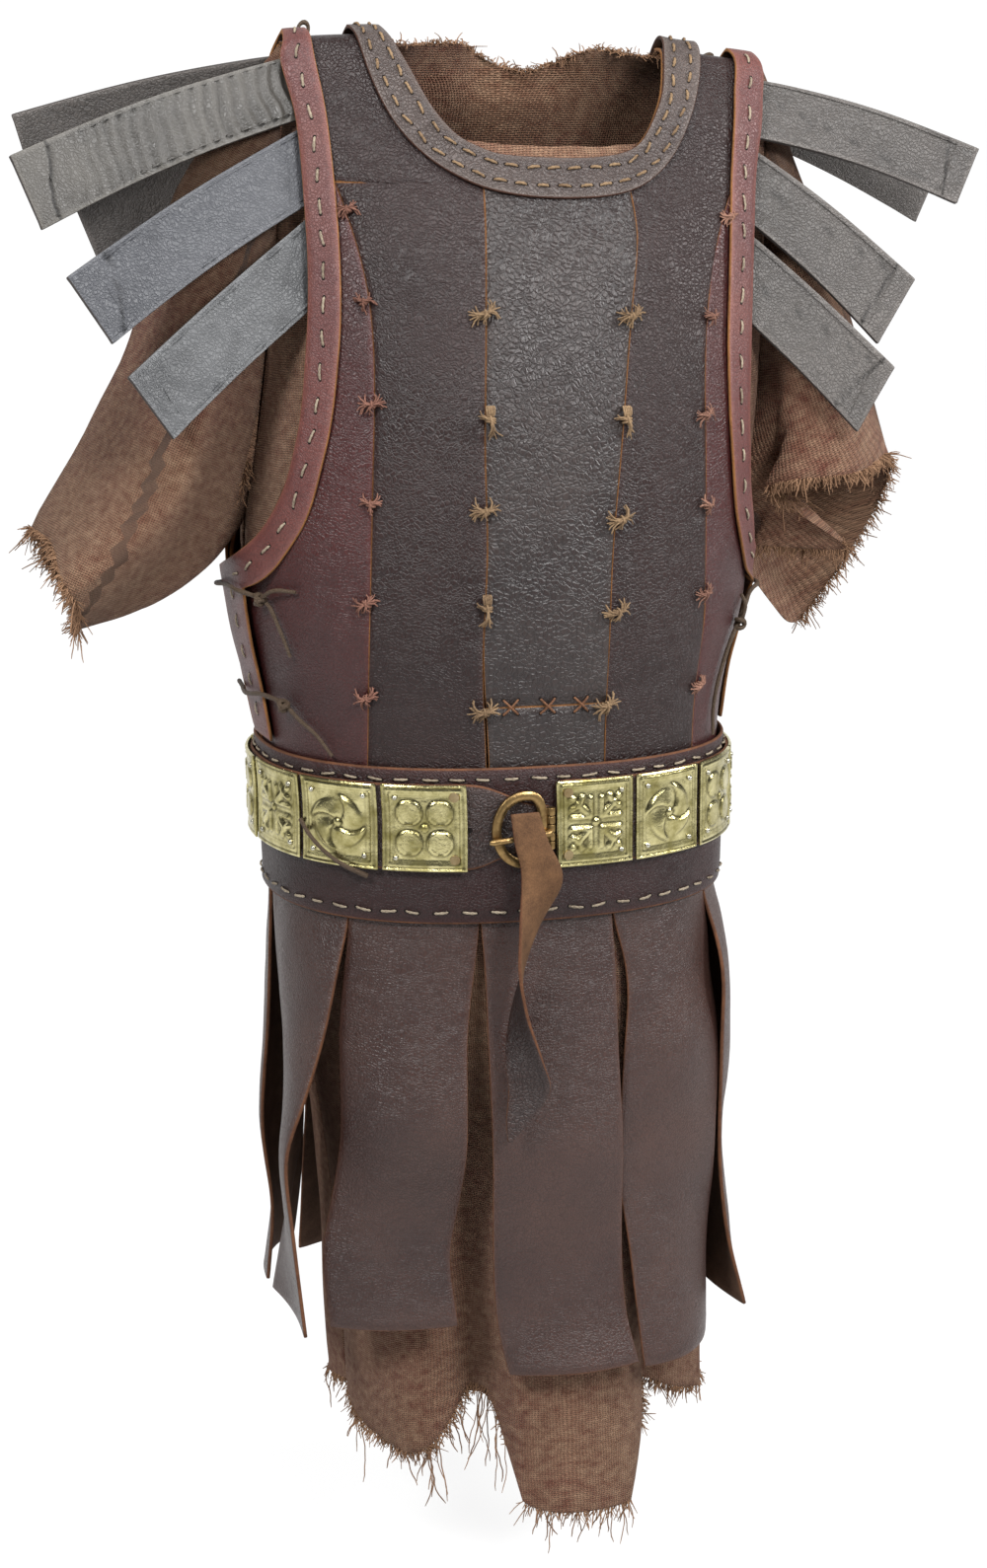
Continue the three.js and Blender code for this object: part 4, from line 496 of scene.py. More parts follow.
def nameWalls(bm):
    # Sorts the faces between sharp lines into outside, inside and, where they are narrow, cut edge
    groups = []
    seen = set()
    for first in bm.faces:
        if first.index in seen:
            continue
        seen.add(first.index)
        group = [first]
        for face in group:
            for edge in face.edges:
                if len(edge.link_faces) != 2 or edge.calc_face_angle(0) > walls["sharp"]:
                    continue
                for other in edge.link_faces:
                    if other.index not in seen:
                        seen.add(other.index)
                        group.append(other)
        members = {face.index for face in group}
        area = sum(face.calc_area() for face in group)
        border = sum(edge.calc_length() for face in group for edge in face.edges
                     if any(other.index not in members for other in edge.link_faces))
        score = sum(f.calc_area() * outwardScore(f.calc_center_median(), f.normal) for f in group)
        wide = border == 0 or 2 * area / border > walls["narrow"]
        groups.append({"faces": group, "area": area, "wide": wide, "score": score})
    groups.sort(key=lambda group: -group["area"])
    wide = [group for group in groups if group["wide"]]
    for group in groups:
        index = cutEdge
        if group in wide[:2] and len(wide) > 1:
            index = outside if group["score"] == max(wide[0]["score"], wide[1]["score"]) else inside
        elif group["wide"]:
            index = outside if group["score"] > 0 else inside
        for face in group["faces"]:
            face.material_index = index


def solidCopy(name):
    # One of the solids with its corners joined and its triangles paired
    bm = bmesh.new()
    bm.from_mesh(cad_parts[name].data)
    bmesh.ops.remove_doubles(bm, verts=bm.verts, dist=1e-5)
    bmesh.ops.join_triangles(bm, faces=bm.faces, angle_face_threshold=0.9, angle_shape_threshold=1.4)
    bm.faces.ensure_lookup_table()
    bm.faces.index_update()
    nameWalls(bm)
    return bm


def holdEdges(bm):
    # Keeps the cut edges and their corners crisp when the piece is smoothed
    crease = bm.edges.layers.float.new("crease_edge")
    corner = bm.verts.layers.float.new("crease_vert")
    for e in bm.edges:
        if len(e.link_faces) == 2 and e.link_faces[0].material_index != e.link_faces[1].material_index:
            e[crease] = holds["edge"]
        elif e.calc_face_angle(0) > walls["sharp"]:
            e[crease] = holds["fold"]
    for v in bm.verts:
        held = [e for e in v.link_edges if e[crease] > 0.9]
        if len(held) == 2:
            a, b = [(e.other_vert(v).co - v.co).normalized() for e in held]
            if (a + b).length > holds["straight"]:
                v[corner] = holds["corner"]


def dressed(name, outer, inner=None, edge="rawEdge", levels=2, relief=None, uv=None):
    # A smooth copy of one of the solids, with its own finish on its face, its back and its cut edge
    bm = solidCopy(name)
    for f in bm.faces:
        f.smooth = True
    holdEdges(bm)
    mesh = meshFrom(bm, name + "_dressed")
    piece = putIn(name + "_dressed", mesh)
    fitThrough(piece, levels)
    for material in (outer, inner or outer, edge):
        mesh.materials.append(finish[material])
    finishMesh(piece, relief, uv)
    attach(piece, "root")
    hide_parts(name)
    return piece


def fitThrough(piece, levels):
    # Subdivision pulls a surface in, so the corners move out until it goes through the solid's own again
    wanted = [v.co.copy() for v in piece.data.vertices]
    smoother = piece.modifiers.new("smooth", "SUBSURF")
    smoother.levels = smoother.render_levels = 1
    for _ in range(2):
        shape = piece.evaluated_get(bpy.context.evaluated_depsgraph_get()).data
        moves = [wanted[i] - shape.vertices[i].co for i in range(len(wanted))]
        for vertex, move in zip(piece.data.vertices, moves):
            vertex.co += move
        piece.data.update()
    smoother.levels = smoother.render_levels = levels
    shape = bpy.data.meshes.new_from_object(piece.evaluated_get(bpy.context.evaluated_depsgraph_get()))
    piece.modifiers.clear()
    bm = bmesh.new()
    bm.from_mesh(shape)
    bm.to_mesh(piece.data)
    bm.free()
    bpy.data.meshes.remove(shape)


def finishMesh(piece, relief, uv):
    # Stores each point's distance to the cut edge, presses the relief in and lays the cloth's own map
    mesh = piece.data
    tree = kdtree.KDTree(len(mesh.vertices))
    rim = set()
    for polygon in mesh.polygons:
        if polygon.material_index == cutEdge:
            rim.update(polygon.vertices)
    for i in rim:
        tree.insert(mesh.vertices[i].co, i)
    tree.balance()
    edge = mesh.attributes.new("edgeDistance", "FLOAT", "POINT")
    distances = [tree.find(v.co)[2] if rim else 1.0 for v in mesh.vertices]
    edge.data.foreach_set("value", distances)
    if relief:
        # The relief's hollow value holds pressed lines and, on ridged strips, painted shade in the troughs
        pressedAndTroughShade = mesh.attributes.new("hollow", "FLOAT", "POINT")
        outer = set()
        for polygon in mesh.polygons:
            if polygon.material_index == outside:
                outer.update(polygon.vertices)
        normals = [v.normal.copy() for v in mesh.vertices]
        for i in outer - rim:
            v = mesh.vertices[i]
            height, hollow = relief(v.co, distances[i])
            v.co += normals[i] * height
            pressedAndTroughShade.data[i].value = hollow
        mesh.update()
    if uv:
        layer = mesh.uv_layers.new(name="cloth")
        places = [uv(v.co) for v in mesh.vertices]
        for polygon in mesh.polygons:
            first = places[polygon.vertices[0]]
            for corner, i in zip(polygon.loop_indices, polygon.vertices):
                layer.data[corner].uv = wrapUv(places[i], first)
    mesh.set_sharp_from_angle(angle=0.75)


# Metres of cloth for each quarter of the body and for each radian of a sleeve
clothRound = {"body": 0.215, "sleeve": 0.062}


def bodyUv(place):
    return (turnOf(place) * clothRound["body"], place.z)


def wrapUv(place, first):
    # Keeps a face that crosses the back middle whole
    full = 4 * clothRound["body"]
    x = place[0]
    if x - first[0] > full / 2:
        x -= full
    elif first[0] - x > full / 2:
        x += full
    return (x, place[1])


def sleeveUv(side):
    axis = Vector((side * 0.5, 0, -1)).normalized()
    cross = Vector((axis.z, 0, -axis.x))
    root = Vector((side * 0.19, 0, -0.1))

    def place(co):
        reach = co - root
        return (math.atan2(reach.dot(cross), reach.y) * clothRound["sleeve"], reach.dot(axis))

    return place


# Soft dents: marks to the metre along each axis and how deep, broad ones first, and how wide the rim is flat
softDents = {
    "cloth": {"broad": (16, 16, 16), "deep": 0.0016, "fine": (45, 45, 12), "shallow": 0.0007, "rim": None},
    "hide": {"broad": (11, 11, 11), "deep": 0.0016, "fine": (34, 34, 22), "shallow": 0.0007, "rim": 0.009},
    "slack": {"broad": (9, 9, 5), "deep": 0.0016, "fine": (38, 38, 38), "shallow": 0.0006, "rim": None},
}


def softRelief(kind):
    look = softDents[kind]

    def relief(co, edge):
        height = noise.noise(co * Vector(look["broad"])) * look["deep"]
        height += noise.noise(co * Vector(look["fine"])) * look["shallow"]
        return height * (min(1, edge / look["rim"]) if look["rim"] else 1), 0

    return relief


pieces = {}
clothPieces = {"tunic_front": bodyUv, "tunic_front_lower": bodyUv, "tunic_back": bodyUv,
               "tunic_sleeve_left": sleeveUv(-1), "tunic_sleeve_right": sleeveUv(1)}
for name, uv in clothPieces.items():
    pieces[name] = dressed(name, "cloth", "cloth", "cloth", 2, softRelief("cloth"), uv)
print("tunic dressed")

# Each leather piece: its face, its back, its cut edge, how it has dented, and its slot
hidePieces = [
    (("panel_centre", "panel_centre_lower"), "darkLeather", "fleshSide", "rawEdge", "hide", "dark_leather"),
    (("panel_brown_left", "panel_brown_right"), "brownLeather", "fleshSide", "rawEdge", "hide",
     "brown_leather"),
    (("panel_side_left", "panel_side_right"), "burgundyLeather", "fleshSide", "rawEdge", "hide",
     "burgundy_leather"),
    (("panel_back",), "brownLeather", "fleshSide", "rawEdge", "hide", "brown_leather"),
    (("neck_binding",), "neckLeather", "fleshSide", "darkEdge", None, "dark_leather"),
    (("armhole_binding_left", "armhole_binding_right"), "rimLeather", "fleshSide", "rawEdge", None,
     "burgundy_leather"),
    (("waistband",), "waistLeather", "fleshSide", "rustEdge", "hide", "burgundy_leather"),
    (("belt_strap",), "strapLeather", "fleshSide", "rustEdge", None, "strap_leather"),
    (("belt_tail",), "suede", "strapLeather", "rustEdge", None, "strap_leather"),
    (["skirt_strip_%d" % i for i in range(1, 10)], "skirtLeather", "fleshSide", "rustEdge", "slack",
     "brown_leather"),
]
for names, face, back, edge, dents, slot in hidePieces:
    for name in names:
        relief = softRelief(dents) if dents else None
        pieces[name] = dressed(name, face, back, edge, 2, relief, None)
print("panels, bindings, belt and skirt dressed")

# Shoulder strips: the two corners of each tip in millimetres, top first, and how its face is worked
shoulderStrips = {
    "l1": {"top": (-364, -34, -72), "low": (-346, -42, -119), "face": "ridgedLeather", "work": "ridges",
           "levels": 4},
    "l2": {"top": (-335, -68, -148), "low": (-308, -76, -191), "face": "steelLeather", "work": "band"},
    "l3": {"top": (-300, -84, -212), "low": (-272, -88, -253), "face": "paleLeather", "work": "dents"},
    "l4": {"top": (-352, 34, -47), "low": (-338, 42, -93), "face": "purpleLeather", "work": "border"},
    "l5": {"top": (-308, 68, -105), "low": (-290, 76, -148), "face": "greenGreyLeather", "work": "border"},
    "r1": {"top": (331, -34, -73), "low": (311, -42, -111), "face": "pewterLeather", "work": "border"},
    "r2": {"top": (268, -68, -162), "low": (238, -74, -206), "face": "pewterLeather", "work": "border"},
    "r3": {"top": (247, -84, -222), "low": (218, -88, -266), "face": "pewterLeather", "work": "border"},
    "r4": {"top": (336, 40, -90), "low": (322, 46, -128), "face": "paleLeather", "work": "dents"},
    "r5": {"top": (290, 70, -142), "low": (268, 78, -186), "face": "paleLeather", "work": "dents"},
}
# In metres: the ridges, the hammer dents, the line across the tip and the lines along the sides
stripWork = {"ridgePitch": 0.0098, "ridgeDepth": 0.0042, "ridgeLine": 0.0185, "ridgeStart": 0.022,
             "ridgeGrow": 0.05, "dentDepth": 0.0013, "dentCells": 105, "bandLine": 0.0255,
             "capLine": 0.0172,
             "borderLine": 0.0046, "markLine": 0.0023, "markPitch": 0.0042}


def notch(distance, wide):
    # A pressed line: 1 in its middle, 0 at its sides
    return max(0.0, 1 - (distance / wide) ** 2)


def stripRelief(look):
    top, low = [Vector(look[key]) * mm for key in ("top", "low")]
    tip = (top + low) / 2
    width = (low - top).length
    across = (low - top).normalized()
    root = Vector((math.copysign(0.150, tip.x), tip.y * 0.9, tip.z * 0.62 + 0.004))
    along = (root - tip).normalized()

    def measure(co):
        # Distance in from the tip, and across from 0 at the top edge to 1 at the low one
        return (co - tip).dot(along), (co - top).dot(across) / width

    def ridges(co, edge):
        # Ridges squeezed up across the strip, wandering, deepest near the shoulder, with painted shade in
        # their troughs
        far, share = measure(co)
        wander = noise.noise(Vector((far * 12, share * 1.3, 1.7))) * 0.9
        wander += noise.noise(Vector((far * 30, share * 3.0, 5.1))) * 0.35
        phase = far / stripWork["ridgePitch"] + wander + 0.5 * share
        wave = math.sin(2 * math.pi * phase)
        sharp = math.copysign(abs(wave) ** 0.8, wave)
        grow = min(1, max(0, (far - stripWork["ridgeStart"]) / stripWork["ridgeGrow"]))
        grow *= 0.6 + 0.4 * noise.noise(Vector((far * 25, share * 2.5, 9)))
        height = sharp * stripWork["ridgeDepth"] * 0.5 * grow
        line = stripWork["ridgeLine"] + 0.0025 * math.sin(share * 5 + 1)
        line += 0.0012 * noise.noise(Vector((share * 9, 0, 3)))
        cut = notch(far - line, 0.0016)
        fade = min(1, edge / 0.0045)
        # low is painted shade: it darkens the troughs between the ridges
        low = max(0, -sharp - 0.35) * grow * 0.8
        return height * fade - cut * 0.0011 * fade, min(1, cut + low)

    def dents(co, edge):
        # Shallow marks of a round hammer
        cell = noise.voronoi(co * stripWork["dentCells"])[0][0]
        height = -stripWork["dentDepth"] * max(0, 1 - cell * 1.6) + noise.noise(co * 55) * 0.0005
        return height * min(1, edge / 0.003), max(0, noise.noise(co * 75) - 0.25) * 0.7

    def band(co, edge):
        # Softer dents, a slanting line across the tip and a lip along the top edge
        height, shade = dents(co, edge)
        far, share = measure(co)
        line = stripWork["bandLine"] - 0.012 * share + 0.0035 * math.sin(share * 3.1)
        cut = notch(far - line, 0.0016)
        lip = notch(edge - 0.0016, 0.0012) * (1 if share < 0.5 else 0)
        return height * 0.6 - cut * 0.0012 + lip * 0.0004, min(1, shade + cut)

    def border(co, edge):
        # A pressed line inside each long edge, small stitch marks on the low one, and the line of the end cap
        far, share = measure(co)
        side = min(share, 1 - share) * width
        cut = notch(side - stripWork["borderLine"], 0.0009) if far > stripWork["capLine"] else 0
        cap = notch(far - stripWork["capLine"], 0.0012)
        marks = 0.0
        if share > 0.5 and far > stripWork["capLine"] + 0.002:
            wave = math.sin(far * 2 * math.pi / stripWork["markPitch"])
            marks = notch(side - stripWork["markLine"], 0.0009) * max(0, wave)
        crinkle = noise.noise(Vector((far * 420, share * 14, 0))) * 0.00025
        fade = min(1, edge / 0.002)
        height = crinkle - (cut * 0.0006 + cap * 0.0011 + marks * 0.0004) * fade
        return height, min(1, cut * 0.8 + cap + marks * 0.6)

    return {"ridges": ridges, "dents": dents, "band": band, "border": border}[look["work"]]


for key, look in shoulderStrips.items():
    name = "shoulder_strip_" + key
    pieces[name] = dressed(name, look["face"], "pewterLeather", "greyEdge", look.get("levels", 3),
                           stripRelief(look),
                           None)
for side in ("left", "right"):
    name = "shoulder_loop_" + side
    pieces[name] = dressed(name, "thong", "thong", "thong", 1, None, None)
print("shoulder strips dressed")


class Surface:
    # The outside of some finished pieces, to set small things on

    def __init__(self, names):
        places, polygons = [], []
        for name in names:
            mesh = pieces[name].data
            start = len(places)
            places += [v.co.copy() for v in mesh.vertices]
            polygons += [[start + i for i in polygon.vertices] for polygon in mesh.polygons]
        self.tree = BVHTree.FromPolygons(places, polygons)

    def at(self, turn, drop):
        outward = outwardAt(turn, drop)
        place, normal, _, _ = self.tree.ray_cast(bodyPoint(turn, drop, 60), -outward, 0.1)
        if place is None:
            return bodyPoint(turn, drop, 10), outward
        return place, normal if normal.dot(outward) > 0 else -normal

    def near(self, place, outward):
        spot, normal, _, _ = self.tree.ray_cast(place + outward * 0.004, -outward, 0.009)
        if spot is None:
            return place, outward
        return spot, normal if normal.dot(outward) > 0 else -normal


def addPiece(name, mesh, materials, smooth=True):
    for material in materials:
        mesh.materials.append(finish[material])
    if smooth:
        mesh.polygons.foreach_set("use_smooth", [True] * len(mesh.polygons))
    piece = putIn(name, mesh)
    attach(piece, "root")
    return piece


def strandPiece(name, strands, material, around=0):
    # Threads of one kind as one mesh: each strand is its points and a thickness, or one for each point
    lines = bpy.data.curves.new(name, "CURVE")
    lines.dimensions = "3D"
    lines.bevel_depth = 1.0
    lines.bevel_resolution = around
    lines.use_fill_caps = True
    for points, thickness in strands:
        line = lines.splines.new("POLY")
        line.points.add(len(points) - 1)
        for i, place in enumerate(points):
            line.points[i].co = (*place, 1)
            line.points[i].radius = thickness[i] if isinstance(thickness, (list, tuple)) else thickness
    holder = putIn(name + "_lines", lines)
    mesh = bpy.data.meshes.new_from_object(holder)
    mesh.name = name
    bpy.data.objects.remove(holder)
    mesh.materials.clear()
    return addPiece(name, mesh, [material])


def holeShadePiece(name, spots, size):
    # Flat discs of painted shade for the holes that thread goes down
    bm = bmesh.new()
    for place, normal in spots:
        turned = normal.to_track_quat("Z", "Y").to_matrix().to_4x4()
        bmesh.ops.create_circle(bm, cap_ends=True, segments=8, radius=size,
                                matrix=Matrix.Translation(place + normal * 0.00018) @ turned)
    return addPiece(name, meshFrom(bm, name), ["holeShade"], False)


def lengthAlong(path):
    total = [0.0]
    for (a, _), (b, _) in zip(path, path[1:]):
        total.append(total[-1] + (b - a).length)
    return total


def placeAlong(path, lengths, far):
    i = min(max(bisect.bisect_right(lengths, far) - 1, 0), len(path) - 2)
    share = (far - lengths[i]) / max(lengths[i + 1] - lengths[i], 1e-9)
    return path[i][0].lerp(path[i + 1][0], share), path[i][1].lerp(path[i + 1][1], share).normalized()


# One stitch: how far along it is, how high in thread widths, and how thick its plies are there
stitchShape = (
    (0, -0.35, 0.5), (0.12, 0.55, 0.62), (0.35, 0.95, 0.7), (0.65, 0.95, 0.7), (0.88, 0.55, 0.62),
    (1, -0.35, 0.5),
)


def runningStitch(surface, path, look, strands, spots):
    # A row of stitches that go down into the leather and come up again
    lengths = lengthAlong(path)
    far = look["pitch"] * 0.3
    while far + look["length"] < lengths[-1]:
        long = look["length"] * random.uniform(0.86, 1.1)
        slip = random.uniform(-1, 1) * look["stray"]
        line = []
        for share, height, _ in stitchShape:
            place, normal = placeAlong(path, lengths, far + share * long)
            place, normal = surface.near(place, normal)
            ahead, _ = placeAlong(path, lengths, far + share * long + 0.002)
            side = normal.cross((ahead - place).normalized())
            place = place + side * slip * (share - 0.5) * 2
            line.append(place + normal * look["thick"] * height)
            if share in (0, 1):
                spots.append((place, normal))
        for ply in (-1, 1):
            # Two twisted plies lie side by side
            twist = [math.sin(k * 1.9 + far * 900) * look["thick"] * 0.35 * ply for k in range(len(line))]
            middle = [p + (side * t) + normal * abs(t) * 0.3 for p, t in zip(line, twist)]
            strands.append((middle, [look["thick"] * step[2] for step in stitchShape]))
        far += look["pitch"] * random.uniform(0.93, 1.07)


def ladder(name):
    # The outside of a long strip as rungs from one long edge to the other, in order
    bm = solidCopy(name)
    bmesh.ops.triangulate(bm, faces=bm.faces)
    bm.faces.ensure_lookup_table()
    rungsOf = {}
    for face in bm.faces:
        if face.material_index == 0:
            rungsOf[face] = [e for e in face.edges if all(f.material_index == 0 for f in e.link_faces)]
    first = min(rungsOf, key=lambda f: f.index)
    ring = all(len(rungs) > 1 for rungs in rungsOf.values())
    cut = rungsOf[first][0] if ring else None

    def spread(start):
        came, order = {start: None}, [start]
        for face in order:
            for step in rungsOf[face]:
                for other in step.link_faces:
                    if step is not cut and other not in came:
                        came[other] = (face, step)
                        order.append(other)
        return came, order[-1]

    start = cut.link_faces[0] if ring else spread(first)[1]
    came, last = spread(start)
    here = cut.link_faces[1] if ring else last
    rungs = []
    while came[here]:
        here, step = came[here]
        a, b = step.verts
        if rungs and (a is rungs[-1][1] or b is rungs[-1][0]):
            a, b = b, a
        rungs.append((a, b, (step.link_faces[0].normal + step.link_faces[1].normal).normalized()))
    made = [(a.co.copy(), b.co.copy(), normal.copy()) for a, b, normal in rungs]
    if ring:
        made.append(made[0])
    bm.free()
    return made


def rowOn(rungs, share):
    return [(a.lerp(b, share), normal) for a, b, normal in rungs]


def rowRound(surface, drop, steps=240):
    # A level line all the way round
    return [surface.at(-2 + 4 * i / steps, drop) for i in range(steps + 1)]


stitching = {
    "neck": {"rows": (0.27, 0.73), "pitch": 0.0150, "length": 0.0084, "thick": 0.0012, "stray": 0.0009},
    "armhole": {"rows": (0.5,), "pitch": 0.0225, "length": 0.0098, "thick": 0.0011, "stray": 0.0011},
    "waist": {"drops": (486.8, 582.0), "pitch": 0.0188, "length": 0.0104, "thick": 0.0011, "stray": 0.0009},
}
holes = []
strands = []
surface = Surface(["neck_binding"])
for share in stitching["neck"]["rows"]:
    runningStitch(surface, rowOn(ladder("neck_binding"), share), stitching["neck"], strands, holes)
strandPiece("neck_stitches", strands, "tanThread")
strands = []
for name in ("armhole_binding_left", "armhole_binding_right"):
    surface = Surface([name])
    for share in stitching["armhole"]["rows"]:
        runningStitch(surface, rowOn(ladder(name), share), stitching["armhole"], strands, holes)
strandPiece("armhole_stitches", strands, "greyThread")
strands = []
surface = Surface(["waistband"])
for drop in stitching["waist"]["drops"]:
    runningStitch(surface, rowRound(surface, drop), stitching["waist"], strands, holes)
strandPiece("waist_stitches", strands, "greyThread")
print("running stitches sewn")

# One knot's strands, in metres
knotLook = {"strand": 0.00062, "reach": 0.0118, "rise": 0.0036, "wrap": 0.0030}
# How each kind of knot splays: each fan's direction, share of the lean, spread, strands, reach and rise
knotTufts = {
    "s": {"lean": 14,
          "fans": ((172, 1, 40, 10, 1, 1), (-30, 0.6, 42, 10, 0.92, 1), (105, 1, 24, 4, 0.7, 1))},
    "l": {"lean": 8, "fans": ((82, 1, 22, 9, 1.1, 1.2), (200, 0, 20, 3, 0.8, 1))},
    "p": {"lean": 0, "fans": ((205, 0, 30, 6, 0.85, 1), (-20, 0, 30, 6, 0.85, 1), (90, 0, 20, 4, 0.8, 1))},
}
knotLoop = {"count": 5, "apart": 0.0013, "thick": 1.1, "shape": (
    (0.6, 0.0012, 0.0024), (1.0, 0.0045, 0.0042), (1.1, 0.0082, 0.0034), (0.9, 0.0094, 0.0016))}
# Knots along the seams at turns and drops: s splays to both sides, l has a loop over a brush, p is plain
knotRows = [
    {"name": "knots_side_left", "thread": "redThread", "size": 0.9, "kinds": "spspss",
     "places": ((-0.508, 113), (-0.455, 171), (-0.42, 236), (-0.412, 300), (-0.417, 366), (-0.44, 430))},
    {"name": "knots_middle_left", "thread": "tanThread", "size": 1.0, "kinds": "slsls",
     "places": ((-0.15, 177), (-0.133, 244), (-0.133, 303), (-0.12, 368), (-0.13, 439))},
    {"name": "knots_middle_right", "thread": "tanThread", "size": 1.0, "kinds": "slsss",
     "places": ((0.145, 177), (0.137, 244), (0.14, 310), (0.15, 373), (0.143, 438))},
    {"name": "knots_side_right", "thread": "pinkThread", "size": 0.85, "kinds": "spspss",
     "places": ((0.482, 111), (0.383, 177), (0.367, 242), (0.403, 304), (0.432, 366), (0.478, 432))},
]


def knotFrame(place, normal):
    # Sideways, downwards and outwards from a place on the leather
    down = (Vector((0, 0, -1)) - normal * normal.dot(Vector((0, 0, -1)))).normalized()
    side = down.cross(normal).normalized()
    if side.x < 0:
        side = -side
    return lambda x, y, z: place + (side * x + down * y + normal * z)


def fan(local, strands, centre, spread, count, reach, look, rise):
    # A tuft: strands leave the knot as one bundle and splay at their ends
    for k in range(count):
        share = (k + 0.5) / count - 0.5
        bundle = math.radians(centre + spread * share * 0.7)
        loose = math.radians(centre + spread * share * 2.6 + random.uniform(-12, 12))
        long = reach * random.uniform(0.62, 1.05)
        lift = look["rise"] * random.uniform(0.5, 1.3) * rise
        line = []
        for t in (0.05, 0.28, 0.5, 0.75, 1.0):
            turned = bundle + (loose - bundle) * t * t
            height = lift * (0.7 + 0.75 * math.sin(math.pi * min(1, t * 1.1))) * (1.1 - 0.6 * t)
            wave = math.sin(t * 9 + k * 2.1) * 0.0003
            line.append(local(math.cos(turned) * long * t + wave, math.sin(turned) * long * t - wave,
                              height + 0.0005))
        thick = look["strand"] * random.uniform(0.85, 1.15)
        strands.append((line, [thick, thick, thick, thick, thick * 0.8]))


def ring(local, strands, x, y, z, wide, tall, tilt, thick, steps=9):
    # A small wrap of thread round the knot
    line = []
    for k in range(steps + 1):
        a = 2 * math.pi * k / steps
        u, w = math.cos(a) * wide, math.sin(a) * tall
        line.append(local(x + u * math.cos(tilt), y + u * math.sin(tilt), z + w))
    strands.append((line, thick))


surface = Surface(["panel_centre", "panel_centre_lower", "panel_brown_left", "panel_brown_right",
                   "panel_side_left", "panel_side_right"])
for row in knotRows:
    strands = []
    for kind, (turn, drop) in zip(row["kinds"], row["places"]):
        place, _ = surface.at(turn + 0.006, drop)
        other, _ = surface.at(turn - 0.006, drop)
        outward = outwardAt(turn, drop)
        place = (place + other) / 2 + outward * max(0, (other - place).dot(outward)) * 0.5
        local = knotFrame(place, outward)
        size = row["size"]
        look = {key: value * size for key, value in knotLook.items()}
        lump = look["wrap"]
        # The wraps that hold the knot
        for k in range(3):
            tilt = random.uniform(-0.3, 0.3)
            ring(local, strands, 0, (k - 1) * 0.0011, 0.0022 * size, lump * 1.1, lump * 0.95, tilt,
                 look["strand"] * 1.25)
        ring(local, strands, 0, 0, 0.0030 * size, lump * 0.95, lump * 0.9, 1.45, look["strand"] * 1.4)
        ring(local, strands, 0.0006, 0.0004, 0.0034 * size, lump * 0.7, lump * 0.7, 0.8,
             look["strand"] * 1.2)
        tuft = knotTufts[kind]
        lean = random.uniform(-tuft["lean"], tuft["lean"]) if tuft["lean"] else 0
        for centre, leans, spread, count, reach, rise in tuft["fans"]:
            fan(local, strands, centre + lean * leans, spread, count, look["reach"] * reach, look, rise)
        if kind == "l":
            for k in range(knotLoop["count"]):
                # The upper loop, of doubled strands
                x = (k - (knotLoop["count"] - 1) / 2) * knotLoop["apart"] * size
                line = [local(x * s, -long * size, z * size) for s, long, z in knotLoop["shape"]]
                strands.append((line, look["strand"] * knotLoop["thick"]))
    strandPiece(row["name"], strands, row["thread"])
print("knots tied")

# Crossed stitches that join the lower centre piece
crosses = {"turns": (-0.066, 0.006, 0.079), "drop": 436.6, "half": 0.0052, "thick": 0.00095, "rise": 0.0013,
           "over": 0.0007, "hole": 0.00125}
surface = Surface(["panel_centre", "panel_centre_lower"])
strands = []
for turn in crosses["turns"]:
    upper, normal = surface.at(turn, crosses["drop"] - 3)
    lower, _ = surface.at(turn, crosses["drop"] + 3)
    local = knotFrame((upper + lower) / 2, normal)
    for way in (-1, 1):
        half = crosses["half"]
        # The second thread of a cross lies over the first
        top = crosses["rise"] + crosses["over"] * (way > 0)
        line = [local(way * half * s, half * s, z) for s, z in (
            (-1, -0.0004), (-0.82, 0.0007), (-0.3, top), (0.3, top), (0.82, 0.0007), (1, -0.0004))]
        strands.append((line, crosses["thick"]))
        for s in (-1, 1):
            holes.append((local(way * half * s, half * s, 0.0001), normal))
strandPiece("cross_stitches", strands, "brownThread")
holeShadePiece("stitch_holes", holes, crosses["hole"])

# The punched hole in the strap, a flat disc of painted shade
strapHole = {"turn": -0.185, "drop": 522, "size": 0.0021}
holeShadePiece("strap_hole", [Surface(["belt_strap"]).at(strapHole["turn"], strapHole["drop"])],
         strapHole["size"])
print("crossed stitches and holes made")


def smoothPath(corners, count):
    # An even line through the corners, as a thong bends
    points = [Vector(c) for c in corners]
    points = [points[0] * 2 - points[1]] + points + [points[-1] * 2 - points[-2]]
    made = []
    for a, b, c, d in zip(points, points[1:], points[2:], points[3:]):
        knots = [0.0]
        for p, q in ((a, b), (b, c), (c, d)):
            knots.append(knots[-1] + max((q - p).length, 1e-6) ** 0.5)
        t0, t1, t2, t3 = knots
        for k in range(count):
            t = t1 + (t2 - t1) * k / count
            a1 = a * ((t1 - t) / (t1 - t0)) + b * ((t - t0) / (t1 - t0))
            a2 = b * ((t2 - t) / (t2 - t1)) + c * ((t - t1) / (t2 - t1))
            a3 = c * ((t3 - t) / (t3 - t2)) + d * ((t - t2) / (t3 - t2))
            b1 = a1 * ((t2 - t) / (t2 - t0)) + a2 * ((t - t0) / (t2 - t0))
            b2 = a2 * ((t3 - t) / (t3 - t1)) + a3 * ((t - t1) / (t3 - t1))
            made.append(b1 * ((t2 - t) / (t2 - t1)) + b2 * ((t - t1) / (t2 - t1)))
    return made + [points[-2]]


